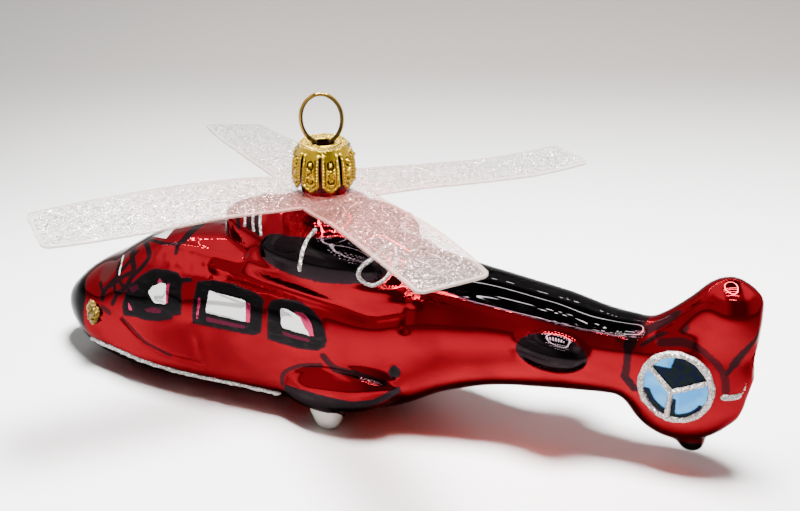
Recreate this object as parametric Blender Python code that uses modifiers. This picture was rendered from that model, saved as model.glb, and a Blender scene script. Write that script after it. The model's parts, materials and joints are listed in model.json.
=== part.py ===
"""A hanging ornament in the shape of a helicopter, standing on its belly and wheel bumps.

One blown-glass body with a neck, a die-cut rotor sheet that turns on that neck, a crimped
cap that pulls off it, a sprung wire loop in the cap, and the raised glitter trim on the glass.
The nose points along -X, the starboard side along +Y and the neck along +Z. The design is laid
out in millimetres from the neck's axis, and the empty at the end puts the whole over its origin.
"""

import math

import bmesh
import bpy
import numpy as np

MM = 0.001

# Place of the neck's axis in the frame, which is centred under the whole ornament
AXIS_X = -11.75
AXIS_Y = 0.0

# Gap that pieces keep where they rest on each other
SEAT_GAP = 0.3

# Glass body: x, top, bottom, half width, height of the widest place, squareness above and below
GLASS_STATIONS = (
    (-59.4, 9.6, 9.6, 0.0, 9.6, 2.0, 2.0),
    (-56.4, 15.0, 4.4, 5.6, 9.6, 2.1, 2.2),
    (-52.0, 18.8, 1.9, 8.8, 9.8, 2.1, 2.4),
    (-46.0, 22.7, 0.4, 11.2, 10.4, 2.2, 2.6),
    (-38.0, 27.7, 0.0, 13.2, 11.2, 2.3, 2.8),
    (-31.0, 30.2, 0.15, 14.1, 12.0, 2.5, 2.9),
    (-18.0, 31.9, 0.5, 14.6, 13.0, 2.8, 2.9),
    (-4.0, 32.6, 0.7, 14.6, 13.5, 2.9, 2.9),
    (8.0, 33.0, 0.9, 14.2, 14.0, 2.9, 2.8),
    (18.0, 33.2, 3.0, 12.8, 15.5, 2.8, 2.6),
    (27.0, 32.5, 7.6, 10.8, 18.0, 2.7, 2.4),
    (36.0, 31.7, 10.4, 9.0, 20.0, 2.6, 2.3),
    (47.0, 30.4, 11.8, 7.6, 21.5, 2.6, 2.2),
    (58.0, 28.6, 12.8, 6.2, 22.0, 2.5, 2.2),
    (66.0, 29.2, 10.0, 5.2, 22.5, 2.3, 2.2),
    (74.0, 34.0, 8.6, 4.6, 23.4, 2.2, 2.2),
    (79.0, 36.0, 10.6, 3.4, 25.0, 2.2, 2.2),
    (81.6, 36.0, 14.5, 1.8, 28.5, 2.2, 2.2),
    (82.9, 32.4, 32.4, 0.0, 32.4, 2.0, 2.0),
)

# Swellings of the glass: centre, half lengths, rise per length in z, and whether on both sides
GLASS_SWELLINGS = {
    "mast_fairing": ((1.0, 0.0, 33.2), (22.0, 9.6, 6.6), -0.10, False),
    "neck_shoulder": ((0.0, 0.0, 37.6), (10.6, 10.6, 6.4), 0.0, False),
    "engine_cowl": ((4.2, 9.0, 34.2), (11.2, 4.8, 4.4), -0.02, True),
    "sponson": ((7.8, 11.4, 9.0), (12.2, 5.4, 5.6), 0.17, True),
    "wheel": ((5.6, 13.0, 3.3), (3.2, 2.4, 3.9), 0.0, True),
    "boom_pod": ((47.4, 7.0, 22.6), (6.4, 3.0, 3.3), -0.05, True),
    "fan_housing": ((70.2, 0.0, 18.2), (11.4, 5.8, 12.8), 0.0, False),
    "fin_lobe": ((77.0, 0.0, 32.7), (5.9, 5.0, 6.0), 0.0, False),
    "tail_nub": ((73.0, 0.0, 5.2), (2.4, 1.8, 1.9), 0.0, False),
}
GLASS_BLEND = 1.6
GLASS_LENGTHWISE = 74
GLASS_AROUND = 52

# Neck of the glass, under the cap: its half outline as radius and height
NECK_TOP = 52.6
NECK_OUTLINE = (
    (3.9, NECK_TOP),
    (4.4, NECK_TOP - 0.5),
    (4.4, 44.4),
    (4.6, 44.0),
    (5.2, 43.6),
    (6.2, 42.9),
    (6.2, 38.0),
)
NECK_BORE_RADIUS = 3.5
NECK_BORE_DEPTH = 13.0

# Rotor sheet: four blades on a square hub that lies tilted on the shoulder of the glass
ROTOR_Z = 44.9
ROTOR_SLOPE_X = -0.01
ROTOR_SLOPE_Y = -0.12
ROTOR_THICKNESS = 0.5
ROTOR_HOLE_RADIUS = 5.0
ROTOR_HEADING = 47.2
HUB_HALF_WIDTH = 7.4
HUB_SHARES = (0.0, 0.35, 0.7)
BLADE_TIP = 54.4
BLADE_TIP_LEAD = 5.6
BLADE_TIP_TRAIL = -7.3
BLADE_LEAD_BOW = 1.3
BLADE_CORNER = 1.6
BLADE_STEPS = 13
BLADE_STRIPS = 8
# Bend of each blade, from the aft starboard one round to the aft port one: the drop that grows
# with the square and the cube of its length, and the twist that grows with it and its square
BLADE_BENDS = (
    (4.04, -5.92, -0.159, 0.155),
    (5.92, -2.60, 0.126, -0.055),
    (6.32, -2.57, -0.40, 0.264),
    (-3.65, 2.56, 0.09, 0.034),
)

# Cap: a crimped crown over the neck
CAP_PETALS = 9
CAP_BOTTOM = 46.5
CAP_TOP = 53.5
CAP_WALL = 0.4
CAP_TOP_RADIUS = 4.9
CAP_SHOULDER_RADIUS = 5.8
CAP_SHOULDER_DROP = 0.9
CAP_SKIRT_RADIUS = 6.05
CAP_SKIRT_SHARES = (0.35, 0.7, 0.9)
CAP_LIP_RADIUS = 5.5
CAP_HOLE_RADIUS = 2.55
CAP_SLOT_WIDTH = 0.5
CAP_SLOT_TOP = 51.4
CAP_SLOT_HEADING = -74.5
CAP_SLOT_INNER_RADIUS = 4.0
CAP_SLOT_OUTER_RADIUS = 7.3
CAP_MOUTH_SHARE = 0.9
CAP_POINT_HEIGHT = 1.5
CAP_CUT_BELOW = 0.6

# Sprung wire loop
WIRE_RADIUS = 0.35
WIRE_HEADING = 29.5
LOOP_HALF_WIDTH = 3.7
LOOP_HALF_HEIGHT = 4.75
LOOP_CENTRE_Z = 58.1
LOOP_LEAN = -0.045
LOOP_STEPS = 33
LEG_TOP_OFFSET = 1.8
LEG_KNEE = (2.6, 47.6)
LEG_FOOT = (2.75, 43.2)

# Raised glitter trim on each side
LAMP_X = -47.8
LAMP_Z = 12.8
LAMP_HALF_LENGTH = 1.9
LAMP_HALF_HEIGHT = 2.5
LAMP_RISE = 0.9
LAMP_EDGE_RISE = 0.15
LAMP_RINGS = 5
LAMP_INNERMOST = 0.12
FAN_X = 69.9
FAN_Z = 19.0
FAN_RING_OUTER = 7.2
FAN_RING_INNER = 5.8
FAN_RING_RISE = 0.5
FAN_SPOKE_RISE = 0.46
FAN_SPOKE_WIDTH = 1.0
FAN_SPOKE_WIDTH_SHARES = (-0.5, 0.0, 0.5)
FAN_SPOKE_START = -0.4
FAN_SPOKE_STEPS = 7
FAN_SPOKE_ANGLES = (28.0, 154.0, 268.0)
FAN_EDGE_SHARE = 0.35


def hermite(knots, values, at):
    """Smooth curve through values at knots, flat where the values turn back."""
    steps = np.diff(knots)[:, None]
    rises = np.diff(values, axis=0) / steps
    inner = np.where(rises[1:] * rises[:-1] > 0, (rises[1:] + rises[:-1]) / 2, 0.0)
    slopes = np.concatenate([rises[:1], inner, rises[-1:]])
    index = np.clip(np.searchsorted(knots, at) - 1, 0, len(steps) - 1)
    share = ((at - knots[index]) / steps[index, 0])[:, None]
    width = steps[index]
    square, cube = share**2, share**3
    return (
        values[index] * (2 * cube - 3 * square + 1)
        + values[index + 1] * (3 * square - 2 * cube)
        + slopes[index] * width * (cube - 2 * square + share)
        + slopes[index + 1] * width * (cube - square)
    )


def arc_share(x):
    """Share of the body's length as an angle, so that both ends close as round forms."""
    first, last = GLASS_STATIONS[0][0], GLASS_STATIONS[-1][0]
    along = np.clip((np.asarray(x, float) - first) / (last - first), 0, 1)
    return np.arccos(1 - 2 * along) / math.pi


def station_values(x):
    """Top, bottom, half width, widest height and the two squareness values at each x."""
    table = np.array(GLASS_STATIONS)
    return hermite(arc_share(table[:, 0]), table[:, 1:], arc_share(x).ravel()).T.reshape(
        (6,) + np.shape(x)
    )


def hull_distance(x, y, z):
    """Rough distance from the plain hull, whose sections are squared ellipses."""
    top, bottom, half_width, waist, above, below = station_values(x)
    across, up = np.abs(y), z - waist
    reach = np.maximum(np.hypot(across, up), 1e-9)
    half_height = np.maximum(np.where(up > 0, top - waist, waist - bottom), 1e-6)
    power = np.where(up > 0, above, below)
    side = (across / reach / np.maximum(half_width, 1e-6)) ** power
    upright = (np.abs(up) / reach / half_height) ** power
    return reach - (side + upright) ** (-1 / power)


def swelling_distance(x, y, z, centre, half_lengths, rise, both_sides):
    """Rough distance from a sheared ellipsoid, mirrored across the middle if both_sides."""
    side = np.abs(y) if both_sides else y
    dx = x - centre[0]
    offsets = (dx, side - centre[1], z - centre[2] - rise * dx)
    unit = np.sqrt(sum((d / r) ** 2 for d, r in zip(offsets, half_lengths)))
    slope = np.sqrt(sum((d / r**2) ** 2 for d, r in zip(offsets, half_lengths)))
    return unit * (unit - 1) / np.maximum(slope, 1e-9)


def glass_distance(x, y, z):
    """Rough distance from the glass: the hull and its swellings, run into each other softly."""
    distance = hull_distance(x, y, z)
    for swelling in GLASS_SWELLINGS.values():
        other = swelling_distance(x, y, z, *swelling)
        near = np.maximum(GLASS_BLEND - np.abs(distance - other), 0) / GLASS_BLEND
        distance = np.minimum(distance, other) - near**2 * GLASS_BLEND / 4
    return distance


def outermost(distance_at, far, step=0.8, halvings=24):
    """Greatest reach, out from 0 and up to far, at which distance_at turns negative."""
    reaches = np.arange(far, 0, -step)
    inside = np.array([distance_at(reach) < 0 for reach in reaches])
    first = np.argmax(inside, axis=0)
    low = np.where(inside.any(axis=0), reaches[first], 0.0)
    high = low + step
    for _ in range(halvings):
        middle = (low + high) / 2
        within = distance_at(middle) < 0
        low = np.where(within, middle, low)
        high = np.where(within, high, middle)
    return low


def side_of_glass(x, z):
    """Half width of the glass at a side view's x and z."""
    x, z = np.asarray(x, float), np.asarray(z, float)
    return outermost(lambda reach: glass_distance(x, reach + 0 * x, z), 20.0)


def new_material(name, colour, roughness, metallic):
    material = bpy.data.materials.new(name)
    material.use_nodes = True
    shader = material.node_tree.nodes["Principled BSDF"]
    shader.inputs["Base Color"].default_value = (*colour, 1)
    shader.inputs["Roughness"].default_value = roughness
    shader.inputs["Metallic"].default_value = metallic
    material.diffuse_color = (*colour, 1)
    return material


def new_object(name, mesh, material, collection, parent=None):
    """Object with a mesh in millimetres, scaled into metres."""
    mesh.transform(((MM, 0, 0, 0), (0, MM, 0, 0), (0, 0, MM, 0), (0, 0, 0, 1)))
    thing = bpy.data.objects.new(name, mesh)
    collection.objects.link(thing)
    thing.parent = parent
    if material:
        mesh.materials.append(material)
    return thing


def mesh_of(name, points, faces):
    mesh = bpy.data.meshes.new(name)
    mesh.from_pydata([tuple(p) for p in points], [], [tuple(f) for f in faces])
    mesh.validate()
    return mesh


def grid_faces(rows, columns, closed):
    """Quads between neighbouring rows of a grid, whose columns may close into a ring."""
    row = np.arange(rows - 1)[:, None]
    column = np.arange(columns if closed else columns - 1)[None, :]
    after = (column + 1) % columns
    corners = (
        row * columns + column,
        row * columns + after,
        (row + 1) * columns + after,
        (row + 1) * columns + column,
    )
    return np.stack([np.broadcast_to(c, (rows - 1, column.size)) for c in corners], -1).reshape(-1, 4)


def smooth(thing, sharp_degrees=40):
    thing.data.shade_smooth()
    thing.data.set_sharp_from_angle(angle=math.radians(sharp_degrees))


def boolean(thing, other, operation):
    modifier = thing.modifiers.new(other.name, "BOOLEAN")
    modifier.operation = operation
    modifier.object = other


def hide_helper(thing):
    thing.hide_render = True
    thing.display_type = "WIRE"


def turned_profile(name, profile, steps, collection, material=None, parent=None):
    """Solid turned about Z from its half outline (radius, z), closed on the axis or on itself."""
    mesh = mesh_of(name, [(r, 0, z) for r, z in profile], [])
    edges = [(i, i + 1) for i in range(len(profile) - 1)]
    if profile[0][0] > 0:
        edges.append((len(profile) - 1, 0))
    mesh.edges.add(len(edges))
    for edge, ends in zip(mesh.edges, edges):
        edge.vertices = ends
    thing = new_object(name, mesh, material, collection, parent)
    screw = thing.modifiers.new("Turn", "SCREW")
    screw.steps = screw.render_steps = steps
    screw.use_merge_vertices = True
    screw.merge_threshold = 1e-6
    screw.use_smooth_shade = True
    return thing


def glass_body(collection, helpers, parent, red_glass):
    """Loft of the glass along X, with its neck joined on and bored."""
    first, last = GLASS_STATIONS[0][0], GLASS_STATIONS[-1][0]
    share = np.arange(1, GLASS_LENGTHWISE) / GLASS_LENGTHWISE
    x = first + (last - first) * (1 - np.cos(math.pi * share)) / 2
    waist = station_values(x)[3][:, None]
    angle = np.arange(GLASS_AROUND) * 2 * math.pi / GLASS_AROUND
    across, up = np.cos(angle)[None, :], np.sin(angle)[None, :]
    x = np.broadcast_to(x[:, None], (x.size, angle.size))
    reach = outermost(lambda r: glass_distance(x, r * across, waist + r * up), 36.0)
    rings = np.stack([x, reach * across, np.maximum(waist + reach * up, 0)], -1).reshape(-1, 3)
    nose = (first, 0, GLASS_STATIONS[0][4])
    tail = (last, 0, GLASS_STATIONS[-1][4])
    faces = [tuple(face) for face in grid_faces(len(x), GLASS_AROUND, closed=True)]
    start = len(rings) - GLASS_AROUND
    for i in range(GLASS_AROUND):
        after = (i + 1) % GLASS_AROUND
        faces.append((len(rings), after, i))
        faces.append((len(rings) + 1, start + i, start + after))
    mesh = mesh_of("glass_body", [*rings, nose, tail], faces)
    body = new_object("glass_body", mesh, red_glass, collection, parent)
    boolean(body, neck_of_glass(helpers, parent), "UNION")
    boolean(body, neck_bore(helpers, parent), "DIFFERENCE")
    smooth(body)
    return body


def neck_of_glass(helpers, parent):
    """Form of the pipe whose foot runs out into the shoulder."""
    profile = [(0, NECK_TOP), *NECK_OUTLINE, (0, NECK_OUTLINE[-1][1])]
    neck = turned_profile("neck_form", profile, 40, helpers, parent=parent)
    hide_helper(neck)
    return neck


def neck_bore(helpers, parent):
    bottom = NECK_TOP - NECK_BORE_DEPTH
    above = NECK_TOP + 1
    profile = [(0, above), (NECK_BORE_RADIUS, above), (NECK_BORE_RADIUS, bottom), (0, bottom)]
    bore = turned_profile("neck_bore", profile, 36, helpers, parent=parent)
    hide_helper(bore)
    return bore


def blade_outline(along):
    """Reach and both edges of a blade at each share of its length, with rounded tip corners."""
    x = HUB_HALF_WIDTH + (BLADE_TIP - HUB_HALF_WIDTH) * along
    lead = HUB_HALF_WIDTH + (BLADE_TIP_LEAD - HUB_HALF_WIDTH) * along
    lead = lead + BLADE_LEAD_BOW * np.sin(math.pi * along)
    trail = -HUB_HALF_WIDTH + (BLADE_TIP_TRAIL + HUB_HALF_WIDTH) * along
    into_corner = np.clip((x - (BLADE_TIP - BLADE_CORNER)) / BLADE_CORNER, 0, 1)
    tuck = BLADE_CORNER * (1 - np.sqrt(1 - into_corner**2))
    return x, lead - tuck, trail + tuck


def blade_height(along, y, bend):
    """Height of a blade over the hub's plane."""
    square_drop, cube_drop, twist, twist_square = bend
    drop = square_drop * along**2 + cube_drop * along**3
    return y * (twist * along + twist_square * along**2) - drop


def rotor(collection, parent, sheet):
    """Flat hub with a round hole, and four blades that bend and twist out from its sides."""
    across = np.linspace(-1, 1, BLADE_STRIPS + 1)
    straight = 1 - BLADE_CORNER / (BLADE_TIP - HUB_HALF_WIDTH)
    corner_shares = np.sin(np.radians((30, 60, 90)))
    along = np.append(
        np.linspace(0, straight, BLADE_STEPS), straight + (1 - straight) * corner_shares
    )[:, None]
    x, lead, trail = blade_outline(along)
    y = (lead + trail) / 2 + (lead - trail) / 2 * across
    blade = np.stack([x + 0 * y, y], -1)
    sweep = np.radians(45) * across
    hole = np.stack([np.cos(sweep), np.sin(sweep)], -1) * ROTOR_HOLE_RADIUS
    side = np.stack([np.full_like(across, HUB_HALF_WIDTH), across * HUB_HALF_WIDTH], -1)
    shares = np.array(HUB_SHARES)[:, None, None]
    quarter = np.concatenate([hole * (1 - shares) + side * shares, blade])
    hub_height = np.zeros((len(HUB_SHARES), across.size))
    quads = grid_faces(*quarter.shape[:2], closed=False)
    points, faces = [], []
    for number, bend in enumerate(BLADE_BENDS):
        turn = math.radians(ROTOR_HEADING + 90 * number)
        turned_x = quarter[..., 0] * math.cos(turn) - quarter[..., 1] * math.sin(turn)
        turned_y = quarter[..., 0] * math.sin(turn) + quarter[..., 1] * math.cos(turn)
        height = np.concatenate([hub_height, blade_height(along, y, bend)])
        height = height + ROTOR_Z + ROTOR_SLOPE_X * turned_x + ROTOR_SLOPE_Y * turned_y
        points.append(np.stack([turned_x, turned_y, height], -1).reshape(-1, 3))
        faces.append(quads + number * len(points[0]))
    mesh = mesh_of("rotor", np.concatenate(points), np.concatenate(faces))
    build = bmesh.new()
    build.from_mesh(mesh)
    bmesh.ops.remove_doubles(build, verts=build.verts, dist=1e-4)
    bmesh.ops.recalc_face_normals(build, faces=build.faces)
    if sum(face.normal.z for face in build.faces) < 0:
        bmesh.ops.reverse_faces(build, faces=build.faces)
    build.to_mesh(mesh)
    build.free()
    blades = new_object("rotor", mesh, sheet, collection, parent)
    smooth(blades)
    thicken = blades.modifiers.new("Sheet", "SOLIDIFY")
    thicken.thickness = ROTOR_THICKNESS * MM
    thicken.offset = 1
    return blades


def cap_slots(helpers, parent):
    """Slots between the petals, each opening into a V between two points."""
    build = bmesh.new()
    pitch = 2 * math.pi / CAP_PETALS
    half_slot = CAP_SLOT_WIDTH / 2 / CAP_SKIRT_RADIUS
    half_mouth = math.tan(pitch / 2) * CAP_MOUTH_SHARE
    low = CAP_BOTTOM - CAP_CUT_BELOW
    point = CAP_BOTTOM + CAP_POINT_HEIGHT
    right_side = ((half_slot, CAP_SLOT_TOP), (half_slot, point), (half_mouth, CAP_BOTTOM), (half_mouth, low))
    outline = (*right_side, *[(-angle, height) for angle, height in right_side[::-1]])
    for number in range(CAP_PETALS):
        turn = math.radians(CAP_SLOT_HEADING) + number * pitch
        ends = []
        for radius in (CAP_SLOT_INNER_RADIUS, CAP_SLOT_OUTER_RADIUS):
            ring = []
            for angle, height in outline:
                place = (radius * math.cos(turn + angle), radius * math.sin(turn + angle), height)
                ring.append(build.verts.new(place))
            ends.append(ring)
        build.faces.new(ends[0])
        build.faces.new(ends[1][::-1])
        for i in range(len(outline)):
            after = (i + 1) % len(outline)
            build.faces.new((ends[0][after], ends[0][i], ends[1][i], ends[1][after]))
    bmesh.ops.recalc_face_normals(build, faces=build.faces)
    mesh = bpy.data.meshes.new("cap_slots")
    build.to_mesh(mesh)
    build.free()
    slots = new_object("cap_slots", mesh, None, helpers, parent)
    hide_helper(slots)
    return slots


def cap(collection, helpers, parent, gold):
    """Crown of thin metal: a flat top with a round hole, and a bulged skirt of petals."""
    skirt_top = CAP_TOP - CAP_SHOULDER_DROP
    bulge = [skirt_top + (CAP_BOTTOM - skirt_top) * share for share in CAP_SKIRT_SHARES]
    outside = [
        (CAP_HOLE_RADIUS, CAP_TOP),
        (CAP_TOP_RADIUS, CAP_TOP),
        (CAP_SHOULDER_RADIUS, skirt_top),
        *[(CAP_SKIRT_RADIUS, height) for height in bulge],
        (CAP_LIP_RADIUS, CAP_BOTTOM),
    ]
    inside = [
        (CAP_LIP_RADIUS - CAP_WALL, CAP_BOTTOM),
        *[(CAP_SKIRT_RADIUS - CAP_WALL, height) for height in bulge[::-1]],
        (CAP_SHOULDER_RADIUS - CAP_WALL, skirt_top - CAP_WALL / 2),
        (CAP_TOP_RADIUS - CAP_WALL / 2, CAP_TOP - CAP_WALL),
        (CAP_HOLE_RADIUS, CAP_TOP - CAP_WALL),
    ]
    crown = turned_profile("cap", outside + inside, 54, collection, gold, parent)
    boolean(crown, cap_slots(helpers, parent), "DIFFERENCE")
    return crown


def hanger_wire(collection, parent, gold):
    """Round wire bent into a tall loop, with two legs that spring apart inside the neck."""
    cosine = LEG_TOP_OFFSET / LOOP_HALF_WIDTH
    start = -math.acos(cosine)
    arc = []
    for angle in np.linspace(start, math.pi - start, LOOP_STEPS):
        side = LOOP_HALF_WIDTH * math.cos(angle)
        arc.append((side, LOOP_CENTRE_Z + LOOP_HALF_HEIGHT * math.sin(angle)))
    legs = (LEG_FOOT, LEG_KNEE)
    route = [*legs, *arc, *[(-side, height) for side, height in legs[::-1]]]
    curve = bpy.data.curves.new("hanger_wire", "CURVE")
    curve.dimensions = "3D"
    curve.bevel_depth = WIRE_RADIUS * MM
    curve.bevel_resolution = 2
    curve.use_fill_caps = True
    spline = curve.splines.new("POLY")
    spline.points.add(len(route) - 1)
    turn = math.radians(WIRE_HEADING)
    for point, (side, height) in zip(spline.points, route):
        side += LOOP_LEAN * max(height - CAP_TOP, 0)
        point.co = (side * math.cos(turn) * MM, side * math.sin(turn) * MM, height * MM, 1)
    wire = bpy.data.objects.new("hanger_wire", curve)
    collection.objects.link(wire)
    wire.parent = parent
    curve.materials.append(gold)
    return wire


def pad_on_side(name, x, z, rise, patch, side, material, collection, parent):
    """Raised pad on the side of the glass: its rise over a grid of x and z, closed all round."""
    half_width = side_of_glass(x, z) + SEAT_GAP
    seat = np.stack([x, side * half_width, z], -1).reshape(-1, 3)
    crest = np.stack([x, side * (half_width + rise), z], -1).reshape(-1, 3)
    patch = [tuple(int(i) for i in face) for face in patch]
    edges = {(a, b) for face in patch for a, b in zip(face, face[1:] + face[:1])}
    faces = patch + [tuple(i + len(seat) for i in face[::-1]) for face in patch]
    for a, b in sorted(edges):
        if (b, a) not in edges:
            faces.append((b, a, a + len(seat), b + len(seat)))
    mesh = mesh_of(name, np.concatenate([seat, crest]), faces)
    build = bmesh.new()
    build.from_mesh(mesh)
    bmesh.ops.recalc_face_normals(build, faces=build.faces)
    build.to_mesh(mesh)
    build.free()
    pad = new_object(name, mesh, material, collection, parent)
    smooth(pad)
    return pad


def nose_lamp(name, side, collection, parent, gold_glitter):
    """Oval blob of glitter on the side of the nose."""
    radius = np.linspace(LAMP_INNERMOST, 1, LAMP_RINGS)[:, None]
    angle = (np.arange(20) * 2 * math.pi / 20)[None, :]
    x = LAMP_X + LAMP_HALF_LENGTH * radius * np.cos(angle)
    z = LAMP_Z + LAMP_HALF_HEIGHT * radius * np.sin(angle)
    rise = LAMP_EDGE_RISE + LAMP_RISE * np.sqrt(1 - radius**2) + 0 * angle
    patch = [*grid_faces(*x.shape, closed=True), range(angle.size - 1, -1, -1)]
    return pad_on_side(name, x, z, rise, patch, side, gold_glitter, collection, parent)


def fan_rim(name, side, collection, helpers, parent, silver_glitter):
    """Raised ring round the tail fan, with three spokes that meet in its middle."""
    middle = (FAN_RING_INNER + FAN_RING_OUTER) / 2
    hump = np.array([FAN_EDGE_SHARE, 1.0, FAN_EDGE_SHARE])
    radius = np.array([FAN_RING_INNER, middle, FAN_RING_OUTER])[:, None]
    angle = (np.arange(40) * 2 * math.pi / 40)[None, :]
    x = FAN_X + radius * np.cos(angle)
    z = FAN_Z + radius * np.sin(angle)
    rise = FAN_RING_RISE * hump[:, None] + 0 * angle
    patch = grid_faces(*x.shape, closed=True)
    rim = pad_on_side(name, x, z, rise, patch, side, silver_glitter, collection, parent)
    for number, degrees in enumerate(FAN_SPOKE_ANGLES):
        turn = math.radians(degrees)
        along = np.linspace(FAN_SPOKE_START, middle, FAN_SPOKE_STEPS)[:, None]
        across = np.array(FAN_SPOKE_WIDTH_SHARES)[None, :] * FAN_SPOKE_WIDTH
        x = FAN_X + along * math.cos(turn) - across * math.sin(turn)
        z = FAN_Z + along * math.sin(turn) + across * math.cos(turn)
        rise = FAN_SPOKE_RISE * hump[None, :] + 0 * along
        patch = grid_faces(*x.shape, closed=False)
        spoke = pad_on_side(f"{name}_spoke_{number}", x, z, rise, patch, side, None, helpers, parent)
        hide_helper(spoke)
        boolean(rim, spoke, "UNION")
    return rim


def main():
    for thing in list(bpy.data.objects):
        bpy.data.objects.remove(thing, do_unlink=True)
    collection = bpy.data.collections.new("helicopter_ornament")
    helpers = bpy.data.collections.new("cutters_and_forms")
    bpy.context.scene.collection.children.link(collection)
    bpy.context.scene.collection.children.link(helpers)
    frame = bpy.data.objects.new("neck_axis", None)
    frame.location = (AXIS_X * MM, AXIS_Y * MM, 0)
    collection.objects.link(frame)

    red_glass = new_material("red_mirror_glass", (0.55, 0.01, 0.02), 0.08, 0.9)
    gold = new_material("gold_cap_metal", (0.78, 0.52, 0.12), 0.25, 1.0)
    sheet = new_material("white_glitter_sheet", (0.85, 0.82, 0.82), 0.4, 0.1)
    gold_glitter = new_material("gold_glitter", (0.6, 0.42, 0.12), 0.5, 0.6)
    silver_glitter = new_material("silver_glitter", (0.75, 0.75, 0.73), 0.5, 0.4)

    glass_body(collection, helpers, frame, red_glass)
    rotor(collection, frame, sheet)
    cap(collection, helpers, frame, gold)
    hanger_wire(collection, frame, gold)
    for side_name, side in (("port", -1), ("starboard", 1)):
        nose_lamp(f"nose_lamp_{side_name}", side, collection, frame, gold_glitter)
        fan_rim(f"fan_rim_{side_name}", side, collection, helpers, frame, silver_glitter)


main()
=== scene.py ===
"""Looks of a hanging glass ornament in the shape of a helicopter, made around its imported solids.

Every shape is laid out in millimetres from the axis of the glass neck, with the nose along -X,
the starboard side along +Y and the neck along +Z, and is moved into the frame at the end.
"""

import json
import math

import bpy
import numpy as np
from bpy.props import FloatProperty, FloatVectorProperty, IntProperty, PointerProperty
from mathutils import Matrix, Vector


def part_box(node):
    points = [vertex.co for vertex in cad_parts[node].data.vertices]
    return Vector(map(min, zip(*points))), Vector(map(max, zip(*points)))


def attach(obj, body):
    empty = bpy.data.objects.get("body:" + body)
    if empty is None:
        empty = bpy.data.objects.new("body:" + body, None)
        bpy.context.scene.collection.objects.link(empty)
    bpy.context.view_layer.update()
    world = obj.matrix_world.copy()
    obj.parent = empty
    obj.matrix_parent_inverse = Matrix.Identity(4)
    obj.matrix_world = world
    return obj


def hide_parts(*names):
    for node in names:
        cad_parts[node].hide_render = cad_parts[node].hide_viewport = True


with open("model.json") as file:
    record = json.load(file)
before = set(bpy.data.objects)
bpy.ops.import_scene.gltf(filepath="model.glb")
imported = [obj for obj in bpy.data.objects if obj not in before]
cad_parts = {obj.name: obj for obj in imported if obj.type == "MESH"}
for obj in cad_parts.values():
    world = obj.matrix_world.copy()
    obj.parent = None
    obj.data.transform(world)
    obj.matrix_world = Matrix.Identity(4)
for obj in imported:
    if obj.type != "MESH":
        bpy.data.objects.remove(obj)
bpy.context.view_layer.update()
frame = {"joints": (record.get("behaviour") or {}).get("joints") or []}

bl_info = {
    "name": "Helicopter glass ornament",
    "version": (1, 0, 0),
    "blender": (4, 5, 0),
    "location": "3D View > Sidebar > Ornament",
    "description": "Builds a mirrored glass helicopter ornament, its glitter, rotor sheet, cap and loop",
    "category": "Object",
}

MM = 0.001
JOINTS = {joint["name"]: joint for joint in frame["joints"]}
SPIN_AXIS = np.array(JOINTS["rotor_spin"]["pos_m"])
NECK_PLACE = SPIN_AXIS * (1, 1, 0)

# Glass body: x, top, bottom, half width, height of the widest place, squareness above and below
GLASS_STATIONS = (
    (-59.4, 9.6, 9.6, 0.0, 9.6, 2.0, 2.0),
    (-56.4, 15.0, 4.4, 5.6, 9.6, 2.1, 2.2),
    (-52.0, 18.8, 1.9, 8.8, 9.8, 2.1, 2.4),
    (-46.0, 22.7, 0.4, 11.2, 10.4, 2.2, 2.6),
    (-38.0, 27.7, 0.0, 13.2, 11.2, 2.3, 2.8),
    (-31.0, 30.2, 0.15, 14.1, 12.0, 2.5, 2.9),
    (-18.0, 31.9, 0.5, 14.6, 13.0, 2.8, 2.9),
    (-4.0, 32.6, 0.7, 14.6, 13.5, 2.9, 2.9),
    (8.0, 33.0, 0.9, 14.2, 14.0, 2.9, 2.8),
    (18.0, 33.2, 3.0, 12.8, 15.5, 2.8, 2.6),
    (27.0, 32.5, 7.6, 10.8, 18.0, 2.7, 2.4),
    (36.0, 31.7, 10.4, 9.0, 20.0, 2.6, 2.3),
    (47.0, 30.4, 11.8, 7.6, 21.5, 2.6, 2.2),
    (58.0, 28.6, 12.8, 6.2, 22.0, 2.5, 2.2),
    (66.0, 29.2, 10.0, 5.2, 22.5, 2.3, 2.2),
    (74.0, 34.0, 8.6, 4.6, 23.4, 2.2, 2.2),
    (79.0, 36.0, 10.6, 3.4, 25.0, 2.2, 2.2),
    (81.6, 36.0, 14.5, 1.8, 28.5, 2.2, 2.2),
    (82.9, 32.4, 32.4, 0.0, 32.4, 2.0, 2.0),
)

# Swellings: centre, half lengths, rise per length in z, whether on both sides, and rounding of its foot
GLASS_SWELLINGS = {
    "mast_fairing": ((1.0, 0.0, 33.2), (22.0, 9.6, 6.6), -0.10, False, 3.2),
    "neck_shoulder": ((0.0, 0.0, 37.6), (10.6, 10.6, 5.3), 0.0, False, 2.0),
    "cowl_foot": ((3.5, 9.0, 30.8), (15.5, 4.2, 2.6), -0.03, True, 2.2),
    "engine_cowl": ((3.4, 9.0, 34.2), (12.4, 4.8, 4.4), -0.02, True, 1.5),
    "sponson": ((7.8, 11.4, 9.0), (12.2, 5.4, 5.6), 0.17, True, 1.6),
    "wheel": ((5.6, 13.0, 3.3), (3.2, 2.4, 3.9), 0.0, True, 1.6),
    "boom_pod": ((47.4, 7.0, 22.6), (6.4, 3.0, 3.3), -0.05, True, 1.6),
    "fan_housing": ((70.2, 0.0, 18.2), (11.4, 5.8, 12.8), 0.0, False, 1.8),
    "fin_lobe": ((77.2, 0.0, 33.1), (5.9, 5.0, 6.4), 0.0, False, 3.4),
    "fin_ramp": ((70.7, 0.0, 31.4), (6.2, 2.9, 3.4), 0.78, False, 2.8),
    "tail_nub": ((73.0, 0.0, 5.2), (2.4, 1.8, 1.9), 0.0, False, 1.6),
}
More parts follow.
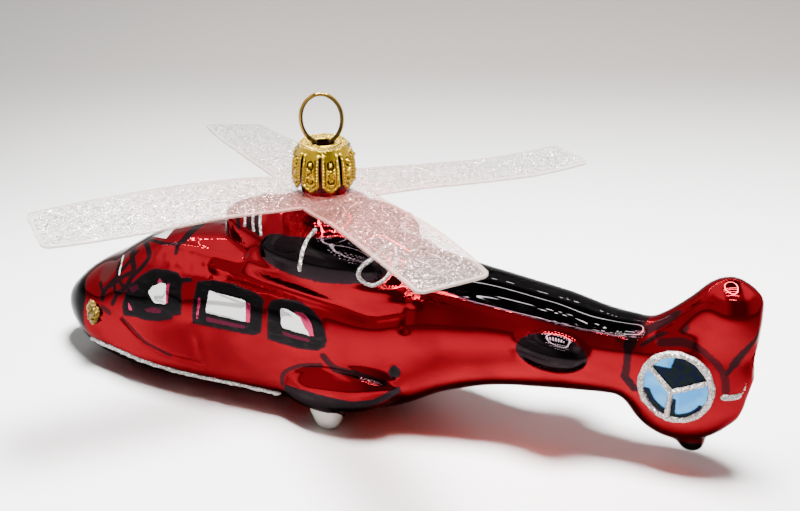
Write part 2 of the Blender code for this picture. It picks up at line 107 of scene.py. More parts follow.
GLASS_REACH = 36.0
GLASS_SKIN = 0.02

# Moulded relief of the glass: lines on one side, with their rise in mm and their width in mm
RELIEF_LINES = (
    ("roof_roll", 0.42, 1.0, ((-28.0, 6.6, 29.6), (-18.0, 8.6, 30.2), (-11.0, 9.6, 30.0),
        (-4.0, 10.9, 29.5), (3.0, 11.9, 28.9), (10.0, 11.4, 28.3), (16.0, 10.6, 28.4),
        (21.6, 9.5, 29.0))),
    ("roof_groove", -0.55, 1.1, ((-19.0, 10.4, 28.8), (-12.9, 11.3, 28.2), (-6.4, 12.0, 27.8),
        (-0.1, 12.3, 27.4), (8.1, 12.5, 26.4), (14.9, 12.2, 25.4), (19.4, 11.4, 26.6))),
    ("door_groove", -0.30, 0.5, ((-39.6, 12.7, 14.4), (-37.9, 13.2, 13.2), (-33.9, 13.8, 10.6),
        (-28.3, 14.2, 9.0), (-21.3, 14.4, 8.7))),
    ("door_edge", -0.16, 0.7, ((-21.6, 14.6, 14.6), (-20.8, 14.4, 8.8))),
    ("bulkhead_groove", -0.30, 0.6, ((20.2, 9.8, 29.1), (21.0, 10.8, 27.0), (20.8, 11.7, 23.9))),
    ("bulkhead_ring", 0.25, 0.7, ((21.6, 9.4, 29.4), (22.2, 9.8, 28.4))),
    ("sponson_seam", -0.30, 0.5, ((-3.2, 14.5, 8.6), (-2.9, 14.5, 10.1), (0.3, 14.6, 12.9),
        (4.9, 14.5, 14.2), (9.8, 14.6, 14.2), (16.0, 14.2, 13.4), (19.7, 13.0, 12.0))),
    ("rivet_groove", -0.22, 0.3, ((19.2, 12.6, 16.1), (19.2, 12.7, 13.8))),
    ("boom_edge", 0.22, 0.8, ((22.0, 7.6, 31.0), (33.0, 7.0, 29.4), (46.0, 6.2, 27.9),
        (58.6, 4.8, 26.8))),
    ("fin_notch", -0.5, 1.3, ((82.8, 0.0, 25.2), (81.8, 1.8, 24.8))),
    ("fin_heel", 0.4, 1.8, ((82.8, 0.0, 20.2), (82.0, 1.2, 20.2))),
    ("fin_fold", -0.35, 1.0, ((66.0, 3.4, 27.2), (69.6, 3.0, 28.8), (72.6, 2.8, 30.0))),
)

# Other relief of the glass: how far panes and fan sink and paint stands out, and where ripples fade
PANE_SINK = 0.09
PAINT_RISE = 0.10
FAN_SINK = 0.25
FAN_SINK_RADIUS = 5.9
CALM_PANE_SHARE = 0.85
CALM_BOOM_SHARE = 0.6
CALM_BOOM_SPAN = (18, 26)
CRINKLE_HEIGHT = 28.2
CRINKLE_HALF_HEIGHT = 2.2
CRINKLE_START_SPAN = (-38, -32)
CRINKLE_END_SPAN = (-8, -20)

# Black gloss paint over the mirror: outlines in side view as x and z, and how far out each starts
BLACK_PATCHES = (
    ((-24.8, 19.1), (-24.6, 21.6), (-25.0, 23.3), (-24.9, 25.0), (-22.9, 25.7), (-23.1, 26.3),
        (-25.6, 25.9), (-26.2, 26.5), (-28.9, 26.4), (-32.5, 25.8), (-34.8, 24.4), (-36.3, 23.0),
        (-38.4, 20.8), (-39.3, 17.4), (-39.1, 15.1), (-35.9, 15.8), (-33.5, 15.7), (-29.9, 16.4),
        (-27.2, 17.4), (-26.5, 18.4)),
    ((-22.2, 17.7), (-19.4, 17.8), (-14.1, 17.8), (-8.9, 17.9), (-7.3, 18.8), (-7.1, 21.5),
        (-7.0, 25.4), (-8.4, 26.2), (-14.0, 27.0), (-18.5, 26.8), (-21.8, 26.0), (-22.0, 23.6),
        (-22.3, 20.6)),
    ((-6.0, 17.7), (0.4, 17.0), (4.4, 17.3), (5.8, 18.4), (6.3, 19.8), (5.9, 21.9), (4.8, 23.9),
        (2.8, 25.5), (-0.2, 26.4), (-3.6, 26.2), (-5.4, 25.6), (-6.1, 24.4)),
)
BLACK_PATCH_STARTS = 9.0
COWL_PATCH = ((-10.8, 34.6), (-9.4, 36.9), (-4.0, 39.2), (0.1, 40.3), (3.0, 40.2), (7.0, 40.0),
    (12.3, 38.4), (16.4, 35.6), (17.0, 33.2), (16.5, 30.5), (9.0, 29.5), (0.0, 30.0), (-7.9, 31.5),
    (-10.4, 33.0))
POD_PATCH = ((40.0, 20.6), (40.8, 23.6), (43.2, 26.4), (47.0, 28.2), (51.6, 27.8), (54.6, 25.0),
    (54.6, 19.4), (50.5, 16.4), (44.5, 16.6), (41.0, 19.0))
SPONSON_PATCH = ((-3.6, 8.2), (-1.6, 8.5), (3.4, 9.3), (8.7, 9.3), (12.3, 9.2), (16.0, 9.9),
    (18.9, 11.6), (20.6, 12.2), (20.4, 10.4), (15.6, 7.9), (9.3, 5.2), (5.0, 3.6), (-0.4, 3.8),
    (-3.4, 4.6))
SWELLING_PAINT_EDGE = 0.45
RIVET_PATCH = ((18.0, 15.0), (18.5, 16.1), (19.3, 16.4), (20.1, 15.9), (20.4, 14.9), (20.0, 13.9),
    (19.2, 13.5), (18.4, 13.9))
BOOM_TOP_LINE = ((17.5, 33.4), (21.0, 31.4), (26.0, 30.9), (32.9, 29.4), (38.7, 28.9), (46.2, 27.9),
    (51.8, 27.2), (58.6, 26.8), (61.0, 27.0))
BOOM_TOP_ENDS = (18.5, 61.6)
NOSE_EDGE = ((7.0, -50.6), (8.0, -51.2), (10.7, -51.3), (13.7, -50.8), (14.8, -50.6), (16.2, -51.5),
    (17.6, -53.6))
NOSE_EDGE_TIP = -55.5
NOSE_EDGE_TOP = 17.6
FAR_OUTSIDE = -9.0

# Paint on simple shapes: the tail nub, the haze and the wheels; painted shade on the neck inside the cap and
# low on the body
NUB_PAINT_RADIUS = 2.6
NUB_PAINT_CENTRE = (73.0, 0.0, 4.6)
NECK_SHADE_FROM = 45.0
NECK_SHADE_RADIUS = 5.4
NECK_SHADE_STRENGTH = 0.88
HAZE_PATH = ((-46.0, 6.6, 20.6), (-42.8, 4.6, 24.0))
HAZE_HALF_WIDTH = 2.3
WHEEL_PAINT_TOP = 4.7
WHEEL_PAINT_RADIUS = 3.3
WHEEL_PAINT_CENTRE = (5.6, 13.4)
LOW_SHADE_TOP = 4.5
LOW_SHADE_END = 60

# Fixed colours of paint and of painted shade, of sparks, and of the sheet's painted red glow
HAZE_COLOUR = (0.05, 0.022, 0.020)
STROKE_AND_SHADE_COLOUR = (0.0065, 0.0035, 0.0045)
THIN_PAINT_COLOUR = (0.016, 0.005, 0.008)
SWEPT_PAINT_COLOUR = (0.0105, 0.0088, 0.0085)
WHEEL_COLOUR = (0.34, 0.33, 0.30)
FAN_CLOUD_COLOUR = (0.04, 0.16, 0.31)
FAN_MURK_COLOUR = (0.003, 0.005, 0.0035)
WHITE_SPARK = (0.95, 0.95, 0.93)
GOLD_SPARK = (0.36, 0.22, 0.02)
SHEET_SPARK = (1.0, 0.99, 0.96)
SHEET_PAINTED_GLOW = (1.0, 0.44, 0.42)

# Brushed dark strokes on one side, and one of painted shade along the crease round the fan ring: half width
# and strength, then their points
DARK_STROKES_AND_SHADE = (
    (0.55, 1.0, ((-17.6, 1.6, 38.4), (-16.2, 4.6, 37.4), (-15.4, 6.4, 35.8))),
    (0.55, 1.0, ((-15.4, 1.8, 39.3), (-13.8, 4.7, 38.2), (-12.7, 6.9, 36.4))),
    (0.55, 1.0, ((-13.5, 1.8, 39.9), (-12.1, 4.8, 38.7), (-10.6, 7.6, 36.2))),
    (0.5, 0.98, ((-47.0, 8.1, 18.7), (-45.5, 9.8, 17.5), (-45.4, 10.4, 16.2))),
    (0.5, 0.98, ((-44.7, 9.5, 18.7), (-42.4, 9.7, 20.3), (-39.7, 9.6, 22.5), (-37.9, 9.6, 23.6))),
    (0.62, 1.0, ((-39.0, 2.5, 27.0), (-36.4, 5.6, 27.2), (-34.8, 8.1, 26.7), (-35.3, 9.0, 25.7),
        (-37.6, 10.1, 23.1), (-39.0, 11.1, 20.6), (-41.4, 11.2, 18.5))),
    (0.75, 1.0, ((-39.9, 0.6, 26.7), (-41.2, 2.3, 25.9), (-40.6, 4.8, 25.5), (-39.2, 7.0, 24.9),
        (-37.9, 8.9, 24.2))),
    (0.58, 1.0, ((-39.0, 5.6, 26.1), (-40.0, 7.5, 24.4), (-41.5, 8.6, 22.4), (-43.0, 9.2, 20.5),
        (-44.7, 9.7, 18.6), (-45.4, 10.4, 16.3))),
    (0.52, 1.0, ((-43.0, 6.2, 23.1), (-42.3, 8.8, 21.6), (-42.1, 10.3, 19.6), (-41.3, 11.1, 18.6),
        (-42.3, 11.6, 16.5))),
    (0.48, 1.0, ((-42.2, 8.8, 21.6), (-40.6, 10.2, 21.0), (-39.0, 11.1, 20.6), (-37.5, 11.2, 21.7))),
    (0.45, 0.98, ((-40.2, 0.8, 26.7), (-35.5, 4.1, 28.4), (-32.3, 5.6, 29.0), (-29.2, 6.0, 29.8))),
    (1.0, 1.0, ((-28.4, -1.0, 30.8), (-28.6, 2.0, 30.7), (-28.5, 5.0, 30.2), (-28.9, 6.2, 29.8))),
    (0.5, 1.0, ((-28.7, 6.4, 29.7), (-28.5, 8.2, 28.9))),
    (0.40, 0.85, ((-39.6, 12.7, 14.4), (-37.9, 13.2, 13.4), (-36.2, 13.5, 12.2), (-33.9, 13.8, 10.6),
        (-31.1, 14.1, 9.7), (-28.3, 14.2, 9.0))),
    (0.6, 0.85, ((-45.2, 10.9, 14.8), (-43.0, 11.6, 14.4))),
    (0.45, 0.9, ((-3.5, 14.4, 8.0), (-3.2, 14.5, 10.3), (0.1, 14.6, 13.0), (4.9, 14.5, 14.3))),
    (0.7, 0.95, ((5.5, 14.4, 16.4), (7.2, 14.5, 14.6), (12.0, 14.5, 14.0), (17.5, 13.8, 12.8))),
    (1.1, 1.0, ((62.3, -1.0, 28.9), (61.9, 1.6, 28.6), (61.5, 3.6, 27.4), (61.0, 5.0, 25.6))),
    (0.7, 0.95, ((61.0, 5.2, 25.0), (61.1, 5.7, 22.8), (60.9, 5.7, 19.8))),
    (1.0, 0.93, ((62.4, 3.4, 27.6), (64.6, 2.6, 29.2), (67.2, 1.9, 30.6), (69.4, 1.6, 32.0))),
    (0.4, 0.95, ((63.2, 4.6, 26.0), (66.0, 3.7, 28.2), (68.6, 3.2, 29.2))),
    (0.75, 0.9, ((70.9, 2.0, 33.0), (71.0, 3.0, 31.2), (70.3, 3.4, 29.8))),
    (0.5, 0.98, ((78.0, 4.0, 22.4), (79.4, 3.4, 24.8))),
    (0.85, 0.97, ((79.4, 3.4, 24.8), (80.8, 2.6, 27.8), (82.3, 1.6, 31.6))),
    # Painted shade along the crease round the fan ring
    (0.75, 0.8, ((66.4, 4.6, 27.2), (71.0, 4.4, 28.0), (75.0, 4.2, 26.2), (77.8, 3.9, 22.8),
        (78.6, 3.9, 19.6))),
    (0.8, 1.0, ((60.8, 5.5, 19.6), (62.6, 5.2, 17.2))),
    (0.8, 1.0, ((-50.4, 8.6, 5.0), (-47.0, 9.6, 4.6), (-41.5, 11.4, 4.4), (-36.7, 12.4, 4.1))),
    (0.7, 0.7, ((-36.7, 12.4, 4.1), (-25.5, 12.6, 3.4), (-12.0, 12.8, 3.2), (-5.0, 12.8, 3.2))),
)

# Bare mirror left free in the windows, and the tints beside it, in side view as x and z
SILVER_PANES = (
    ((-30.1, 23.9), (-28.7, 24.0), (-28.4, 20.3), (-31.1, 19.9), (-32.9, 21.5), (-32.1, 22.8)),
    ((-18.9, 24.9), (-10.8, 24.5), (-10.6, 20.4), (-19.3, 20.6)),
    ((-3.5, 24.5), (-1.6, 24.4), (0.7, 23.4), (2.8, 20.2), (-3.0, 20.8)),
)
PINK_PANES = (
    ((-30.5, 24.6), (-29.6, 24.3), (-30.4, 23.7), (-31.0, 23.7)),
    ((-28.6, 24.1), (-27.8, 24.4), (-27.9, 20.5), (-28.5, 20.3)),
    ((-37.7, 18.4), (-36.4, 17.0), (-37.6, 16.7)),
    ((-10.8, 24.2), (-9.7, 24.2), (-9.7, 20.5), (-10.6, 20.4)),
    ((-0.8, 24.5), (1.5, 24.3), (3.1, 22.7), (3.7, 20.2), (2.7, 20.2), (0.6, 23.5)),
    ((-21.1, 23.2), (-20.5, 23.3), (-20.9, 18.9), (-21.4, 18.9)),
)
WINE_PANES = (
    ((-33.4, 18.1), (-31.4, 19.0), (-29.3, 19.0), (-29.6, 18.2), (-32.8, 17.6)),
    ((-37.9, 20.9), (-35.9, 22.2), (-35.2, 21.6), (-36.9, 20.2)),
    ((-19.3, 19.8), (-14.2, 19.7), (-10.4, 19.7), (-10.9, 19.0), (-19.0, 18.8)),
    ((-2.9, 20.1), (0.9, 19.7), (3.0, 19.4), (2.6, 18.8), (-2.7, 19.3)),
)
ROOF_PANE_FROM = 26.0
ROOF_PANE = ((-38.3, -0.2), (-33.6, -0.6), (-33.2, 3.9), (-35.0, 3.0), (-38.0, 1.4))
STREAK_PATH = ((-43.0, 4.5, 24.0), (-42.1, 6.8, 23.4), (-41.6, 8.9, 22.0))
STREAK_HALF_WIDTH = 0.22

# Tail fan: its middle and the ring of glitter round it
FAN_X = 70.0
FAN_Z = 19.0
FAN_RING_RADIUS = 6.3
FAN_RING_TALL = 1.07
FAN_HUB = (-0.7, -0.7)
FAN_SPOKE_ANGLES = (25.0, 135.0, 266.0)

# Lines of white glitter glue on one side: half width, rise, then their points
GLITTER_LINES = {
    "chine_line": (0.6, 0.5, ((-49.9, 9.1, 5.7), (-46.0, 10.6, 5.9), (-41.5, 11.9, 6.0),
        (-34.7, 12.8, 5.4), (-25.5, 13.0, 4.8), (-14.0, 13.2, 4.7), (-4.6, 12.9, 4.4))),
    "cowl_bar": (0.42, 0.45, ((2.4, 9.2, 40.4), (1.3, 11.1, 38.4), (1.2, 13.0, 36.2), (0.9, 13.5, 33.1))),
    "tail_dash": (0.62, 0.5, ((77.9, 4.4, 18.3), (79.4, 3.5, 18.1), (81.3, 2.1, 18.2))),
    "tail_edge": (0.24, 0.22, ((80.7, 2.4, 18.0), (81.5, 1.7, 19.0), (82.1, 1.1, 20.4),
        (82.3, 0.7, 21.8))),
}
LINE_SINK = 0.06
LINE_SEARCH_REACH = 20.0
COWL_RING_CENTRE = (14.4, 34.1)
COWL_RING_RADIUS = 2.3
COWL_RING_LINE = (0.42, 0.45)
GRILLE_LINE = (0.3, 0.35)
GRILLE_STROKES = (
    ((-16.1, 2.0, 39.0), (-14.6, 4.6, 38.0), (-13.8, 6.6, 36.4)),
    ((-14.4, 2.0, 39.6), (-12.9, 4.8, 38.5), (-11.4, 7.4, 36.2)),
    ((-12.6, 2.0, 40.2), (-11.3, 4.8, 38.8), (-9.6, 8.0, 35.9)),
)

# Blobs of gold glitter on the nose: points, rise over the glass and depth under it
BLOB_ROWS = 26
BLOB_COLUMNS = 72
BLOB_RISE = 1.15
BLOB_SINK = 0.25

# Rotor sheet: its hub, its painted red glow that stands in for light from the glass, and its blades with
# their drops and twists
ROTOR_Z = 44.9
ROTOR_SLOPE_X = -0.01
ROTOR_SLOPE_Y = -0.12
ROTOR_THICKNESS = 0.5
ROTOR_HOLE_RADIUS = 4.8
ROTOR_HEADING = 47.2
PAINTED_GLOW_CENTRE = (8.0, -8.0)
PAINTED_GLOW_RADIUS = 33.0
HUB_HALF_WIDTH = 7.4
BLADE_TIP = 54.4
BLADE_TIP_LEAD = 5.6
BLADE_TIP_TRAIL = -7.3
BLADE_LEAD_BOW = 1.3
BLADE_CORNER = 1.6
BLADE_BENDS = (
    (4.04, -5.92, -0.159, 0.155),
    (5.92, -2.60, 0.126, -0.055),
    (6.32, -2.57, -0.40, 0.264),
    (-3.65, 2.56, 0.09, 0.034),
)

# Dip of the sheet under the cap: depth, centre and half lengths along the camera's axes on its
# near side, then the radius of the dip all round and its share of the depth
SAG_DEPTH = 1.5
SAG_CENTRE = (-3.0, -10.0)
SAG_HALVES = (13.0, 8.0)
SAG_ALL_ROUND = 6.8
SAG_SHARE_ALL_ROUND = 0.72

# Neck of the glass as radius and height, from its foot up over the lip and down the bore
NECK_OUTLINE = (
    (0.4, 38.2),
    (5.0, 38.2),
    (5.0, 41.6),
    (4.7, 42.4),
    (4.4, 43.2),
    (4.4, 44.5),
    (4.4, 51.9),
    (4.3, 52.4),
    (4.05, 52.6),
    (3.7, 52.5),
    (3.5, 52.1),
    (3.5, 40.2),
    (3.2, 39.7),
    (0.4, 39.6),
)

# Cap: outline as radius and height from the hole outward and down, then its petals
CAP_OUTLINE = ((1.95, 53.1), (1.97, 53.4), (2.2, 53.5), (3.6, 53.55), (4.3, 53.62), (4.68, 53.55),
    (4.86, 53.25), (5.12, 52.75), (5.4, 52.2), (5.66, 51.5), (5.86, 50.4), (6.06, 48.4), (6.06, 46.6),
    (5.8, 45.2))
CAP_PETALS = 9
CAP_WALL = 0.3
CAP_SLOT_HEADING = -72.0
CAP_SLOT_HALF_WIDTH = 0.3
CAP_SLOT_TOP = 52.5
CAP_POINT_HEIGHT = 1.5
CAP_SKIRT_RADIUS = 6.0

# Stamped relief of the cap: its rings of dots as radius, count and size of a dot, its vines, and
# the way down the outline or in from a petal's edge, or the height, at which each mark sits
CAP_RIM_DOTS = (4.12, 27, 0.24)
CAP_HOLE_DOTS = (2.75, 24, 0.2)
CAP_VINE_RADIUS = 3.4
CAP_DISC_END = 2.9
CAP_SHOULDER_ROLL = 2.8
CAP_SHOULDER_BEAD = (0.55, 52.45)
CAP_BORDER_BEADS_IN = 0.42
CAP_BORDER_LINE_IN = 0.82
CAP_FIELD_IN = 0.95
CAP_SKIRT_STARTS = 52.0
CAP_BOSS_HEIGHT = 50.9
CAP_SWIRL_HEIGHT = 49.4
CAP_RING_HEIGHT = 47.9

# How near two points of a sheet are joined, in metres
ROTOR_WELD = 0.00002
CAP_WELD = 0.000004

# Wire loop
WIRE_RADIUS = 0.4
WIRE_SIDES = 20
WIRE_HEADING = 29.5
# Side of the wire along which its painted dark reflection streak runs
WIRE_DARK_REFLECTION_TURN = 2.2
LOOP_HALF_WIDTH = 3.8
LOOP_HALF_HEIGHT = 4.85
LOOP_CENTRE_Z = 58.1
LOOP_LEAN = -0.045
LEG_TOP_OFFSET = 1.8
LEG_KNEE = (2.6, 47.6)
LEG_FOOT = (2.75, 43.2)

# Camera: its turn and pitch in degrees, its place from the hub along its own axes, and its lens
CAMERA_TURN = 21.5
CAMERA_PITCH = 27.0
CAMERA_RIGHT = 14.28
CAMERA_DOWN = 13.44
CAMERA_BACK = 263.97
CAMERA_LENS = 63.0
CAMERA_SENSOR = 36.0
CAMERA_NEAREST = 0.01

# Floor: spans along the camera's level line and right over which its painted shade and its painted glow
# change
FLOOR_NEAR_SPAN = (-240.0, -70.0)
FLOOR_FAR_SPAN = (45.0, 205.0)
FLOOR_NEAR_RIGHT_SPANS = ((15.0, 150.0), (10.0, -50.0))
FLOOR_FAR_LEFT_SPANS = ((-40.0, -170.0), (20.0, 120.0))
FLOOR_CORNER_SHADE_SHARE = 0.8
FLOOR_GLOW_SPAN = (-150.0, -340.0)
FLOOR_GLOW = 0.4
FLOOR_GLOW_COLOUR = (1.0, 0.98, 0.96)

# Lamps over the stage, in millimetres from the neck along the camera's right and level directions:
# a ring light, then rows of small lamps, each row as its depth and its first and last place
LAMP_HEIGHT = 300.0
LAMP_CENTRE_RIGHT = 60.0
LAMP_RING_HALVES = (88.0, 158.0)
LAMP_RING_WIDTH = 11.0
LAMP_RING_STRENGTH = 230.0
LAMP_ROWS = ((-300.0, -40.0, 90.0), (-190.0, -60.0, 150.0), (-110.0, -60.0, 150.0),
    (-60.0, -60.0, 150.0), (-24.0, -60.0, 150.0), (370.0, -400.0, 400.0))
LAMP_PITCH = 20.0
LAMP_DOT_ACROSS = 3.6
LAMP_DOT_DEEP = 4.4
LAMP_DOT_STRENGTH = 330.0


# Room that the glass mirrors: strength of its walls near and far and of its bright panels, how
# much the opening and the ceiling take away, and its colour
WALL_STRENGTHS = (2.0, 2.8)
PANEL_STRENGTH = 5.5
OPENING_DIMS = 0.74
CEILING_DIMS = 0.87
ROOM_COLOUR = (1.0, 0.985, 0.965)

# The one light that lights the floor: its place, the place that it faces, and its size in metres
KEY_PLACE = (42.0, -14.0, 340.0)
KEY_AIM = (30.0, 10.0)
KEY_SIZE = (0.11, 0.10)

# Red light thrown up by the glass through the rotor sheet: its place and size
SHEET_GLOW_PLACE = (18.0, -22.0, 68.0)
SHEET_GLOW_SIZE = (0.03, 0.02)

# Red light thrown down by the glass: its place, lean towards the camera, size and colour
BOUNCE_PLACE = (26.0, -27.0, 24.0)
BOUNCE_LEAN = 0.3
BOUNCE_SIZE = (0.12, 0.008)
BOUNCE_COLOUR = (1.0, 0.13, 0.10)


def colour_property(name, description, default):
    """Setting for a colour of red, green and blue."""
    return FloatVectorProperty(
        name=name, description=description, subtype="COLOR", size=3, default=default
    )


# First value's socket of the mix node for each kind of value
MIX_KINDS = {"FLOAT": 2, "VECTOR": 4, "RGBA": 6}


class OrnamentGlass(bpy.types.PropertyGroup):
    rows: IntProperty(
        name="Rows", description="Rings of the glass body along its length",
        default=340, min=80,
    )
    columns: IntProperty(
        name="Columns", description="Points round each ring of the glass body",
        default=284, min=80,
    )
    ripple: FloatProperty(
        name="Ripple", description="Depth in millimetres of the waves that blowing leaves",
        default=0.035, min=0,
    )
    lacquer: colour_property("Lacquer", "Clear red over the mirror", (0.112, 0.0015, 0.0044))
    lacquer_deep: colour_property("Deep lacquer", "Red where the lacquer ran thick", (0.055, 0.0007, 0.0019))
    black_paint: colour_property("Black paint", "Hand-painted gloss black", (0.0040, 0.0036, 0.0040))
    mirror: colour_property("Mirror", "Silver seen through clear glass", (1.0, 0.99, 0.98))
    pink: colour_property("Pink tint", "Thin red at the edges of the windows", (0.24, 0.014, 0.05))
    wine: colour_property("Wine tint", "Lacquer showing through the window frames", (0.042, 0.004, 0.012))
    fan_blue: colour_property("Fan blue", "Blue lacquer in the tail fan", (0.021, 0.115, 0.27))
    fan_navy: colour_property("Fan navy", "Dark blue at the edges of the fan", (0.002, 0.003, 0.009))


class OrnamentGlitter(bpy.types.PropertyGroup):
    white: colour_property("White glitter", "Base of the white glitter glue", (0.27, 0.262, 0.245))
    gold: colour_property("Gold glitter", "Base of the gold glitter glue", (0.115, 0.072, 0.010))
    grain: FloatProperty(
        name="Grain", description="Size in millimetres of a white glitter grain",
        default=0.22, min=0.05,
    )
    gold_grain: FloatProperty(
        name="Gold grain", description="Size in millimetres of a gold glitter grain",
        default=0.5, min=0.05,
    )
    lump: FloatProperty(
        name="Lump", description="Share by which a line of glitter swells and thins",
        default=0.16, min=0, max=0.5,
    )


class OrnamentRotor(bpy.types.PropertyGroup):
    steps: IntProperty(name="Steps", description="Rows of points along each blade", default=84, min=12)
    strips: IntProperty(
        name="Strips", description="Strips of points across each blade",
        default=30, min=6,
    )
    rim: FloatProperty(
        name="Rim", description="Width in millimetres of the plain rim",
        default=0.75, min=0,
    )
    grain: FloatProperty(
        name="Grain", description="Size in millimetres of a flake on the sheet",
        default=0.34, min=0.05,
    )
    sheet: colour_property("Sheet", "Colour of the white sheet", (0.37, 0.335, 0.285))
    flake: colour_property("Flake", "Colour of the flakes", (0.47, 0.43, 0.37))


class OrnamentCap(bpy.types.PropertyGroup):
    gold: colour_property("Gold", "Stamped cap metal", (0.27, 0.175, 0.009))
    wire_gold: colour_property("Wire gold", "Spring wire of the loop", (0.22, 0.14, 0.03))
    columns: IntProperty(
        name="Columns", description="Columns of points across each petal",
        default=56, min=8,
    )
    rows: IntProperty(name="Rows", description="Rows of points down the cap", default=150, min=20)


class OrnamentStage(bpy.types.PropertyGroup):
    # The near and far floor colours are painted shade, darker than the pale floor round the ornament
    floor_near_shade: colour_property("Near floor", "Floor in front of the camera's view", (0.17, 0.16, 0.155))
    floor_middle: colour_property("Middle floor", "Floor round the ornament", (0.92, 0.91, 0.90))
    floor_far_shade: colour_property("Far floor", "Floor behind the ornament", (0.255, 0.232, 0.215))
    floor_size: FloatProperty(
        name="Floor size", description="Half width of the floor",
        default=2.5, unit="LENGTH",
    )
    bounce_watts: FloatProperty(
        name="Bounce power",
        description="Power of the red light that the glass throws on the floor, in watts",
        default=0.0044,
    )
    sheet_glow_watts: FloatProperty(
        name="Sheet glow power",
        description="Power of the red light on the rotor sheet over the glass, in watts",
        default=0.032,
    )
    key_watts: FloatProperty(
        name="Key power", description="Power of the small light overhead, in watts",
        default=8.6,
    )


def settings(group):
    """The scene's settings of one group."""
    return getattr(bpy.context.scene, group)


def bell(value, width):
    """Rounded bump: exp(-(value / width)^2)."""
    return np.exp(-((value / width) ** 2))


def soft_step(depth, softness):
    """Step from 0 outside to 1 inside: 1 / (1 + exp(-depth / softness))."""
    return 1 / (1 + np.exp(-depth / softness))


def rotated(x, y, degrees):
    """Places turned about the middle: x cos - y sin and x sin + y cos."""
    turn = math.radians(degrees)
    return x * math.cos(turn) - y * math.sin(turn), x * math.sin(turn) + y * math.cos(turn)


def folded_over(points):
    """Points with those of the port side moved to starboard, as x, |y| and z."""
    return points * (1, 0, 1) + np.abs(points) * (0, 1, 0)


def cubic_between(values, slopes, index, share, width):
    """Cubic over the span after each index that has the values and slopes of both its ends."""
    square, cube = share**2, share**3
    return (
        values[index] * (2 * cube - 3 * square + 1)
        + values[index + 1] * (3 * square - 2 * cube)
        + slopes[index] * width * (cube - 2 * square + share)
        + slopes[index + 1] * width * (cube - square)
    )


def hermite(knots, values, at):
    """Smooth curve through values at knots: on each span the cubic that has the knots' values and slopes."""
    steps = np.diff(knots)[:, None]
    rises = np.diff(values, axis=0) / steps
    inner = np.where(rises[1:] * rises[:-1] > 0, (rises[1:] + rises[:-1]) / 2, 0.0)
    slopes = np.concatenate([rises[:1], inner, rises[-1:]])
    index = np.clip(np.searchsorted(knots, at) - 1, 0, len(steps) - 1)
    share = ((at - knots[index]) / steps[index, 0])[:, None]
    return cubic_between(values, slopes, index, share, steps[index])


def arc_share(x):
    """Share of the body's length as an angle: arccos(1 - 2 times the share along), over pi."""
    first, last = GLASS_STATIONS[0][0], GLASS_STATIONS[-1][0]
    along = np.clip((np.asarray(x, float) - first) / (last - first), 0, 1)
    return np.arccos(1 - 2 * along) / math.pi


def station_values(x):
    """Top, bottom, half width, widest height and the two squareness values at each x."""
    table = np.array(GLASS_STATIONS)
    found = hermite(arc_share(table[:, 0]), table[:, 1:], arc_share(x).ravel())
    return found.T.reshape((6,) + np.shape(x))


def hull_distance(x, y, z):
    """Reach from the section's middle less that of a squared ellipse, |y/a|^n + |z/b|^n = 1, the same way."""
    top, bottom, half_width, waist, above, below = station_values(x)
    across, up = np.abs(y), z - waist
    reach = np.maximum(np.hypot(across, up), 1e-9)
    half_height = np.maximum(np.where(up > 0, top - waist, waist - bottom), 1e-6)
    power = np.where(up > 0, above, below)
    side = (across / reach / np.maximum(half_width, 1e-6)) ** power
    upright = (np.abs(up) / reach / half_height) ** power
    return reach - (side + upright) ** (-1 / power)


def swelling_distance(x, y, z, centre, half_lengths, rise, both_sides):
    """Rough distance from a sheared ellipsoid: u(u - 1) over the length of its slope, u being 1 on it."""
    side = np.abs(y) if both_sides else y
    dx = x - centre[0]
    offsets = (dx, side - centre[1], z - centre[2] - rise * dx)
    unit = np.sqrt(sum((d / r) ** 2 for d, r in zip(offsets, half_lengths)))
    slope = np.sqrt(sum((d / r**2) ** 2 for d, r in zip(offsets, half_lengths)))
    return unit * (unit - 1) / np.maximum(slope, 1e-9)


def glass_distance(x, y, z):
    """Least of the hull's and the swellings' distances, rounded where two come within the blend."""
    distance = hull_distance(x, y, z)
    for *swelling, blend in GLASS_SWELLINGS.values():
        other = swelling_distance(x, y, z, *swelling)
        near = np.maximum(blend - np.abs(distance - other), 0) / blend
        distance = np.minimum(distance, other) - near**2 * blend / 4
    return distance


def outermost(distance_at, far, step=1.2, halvings=16):
    """Greatest reach, out from 0 and up to far, at which distance_at turns negative, by halving."""
    reaches = np.arange(far, 0, -step)
    inside = np.array([distance_at(reach) < 0 for reach in reaches])
    first = np.argmax(inside, axis=0)
    low = np.where(inside.any(axis=0), reaches[first], 0.0)
    high = low + step
    for _ in range(halvings):
        middle = (low + high) / 2
        within = distance_at(middle) < 0
        low = np.where(within, middle, low)
        high = np.where(within, high, middle)
    return low


def side_of_glass(x, z):
    """Outermost y of the glass on its starboard side at each x and z."""
    return outermost(lambda reach: glass_distance(x, reach + 0 * x, z), LINE_SEARCH_REACH)


def glass_normals(points, reach=0.12):
    """Slope of the glass distance at each point, by differences to both sides, at length 1."""
    slopes = []
    for axis in range(3):
        ahead, behind = points.copy(), points.copy()
        ahead[:, axis] += reach
        behind[:, axis] -= reach
        slopes.append(glass_distance(*ahead.T) - glass_distance(*behind.T))
    slopes = np.stack(slopes, -1)
    return slopes / np.maximum(np.linalg.norm(slopes, axis=1, keepdims=True), 1e-9)


def settle_on_glass(points, lift):
    """Points moved along the glass normal until each is lift over the glass, in a few steps."""
    points = np.array(points, float)
    for _ in range(14):
        normals = glass_normals(points)
        points -= 0.7 * (glass_distance(*points.T) - lift)[:, None] * normals
    return points, glass_normals(points)


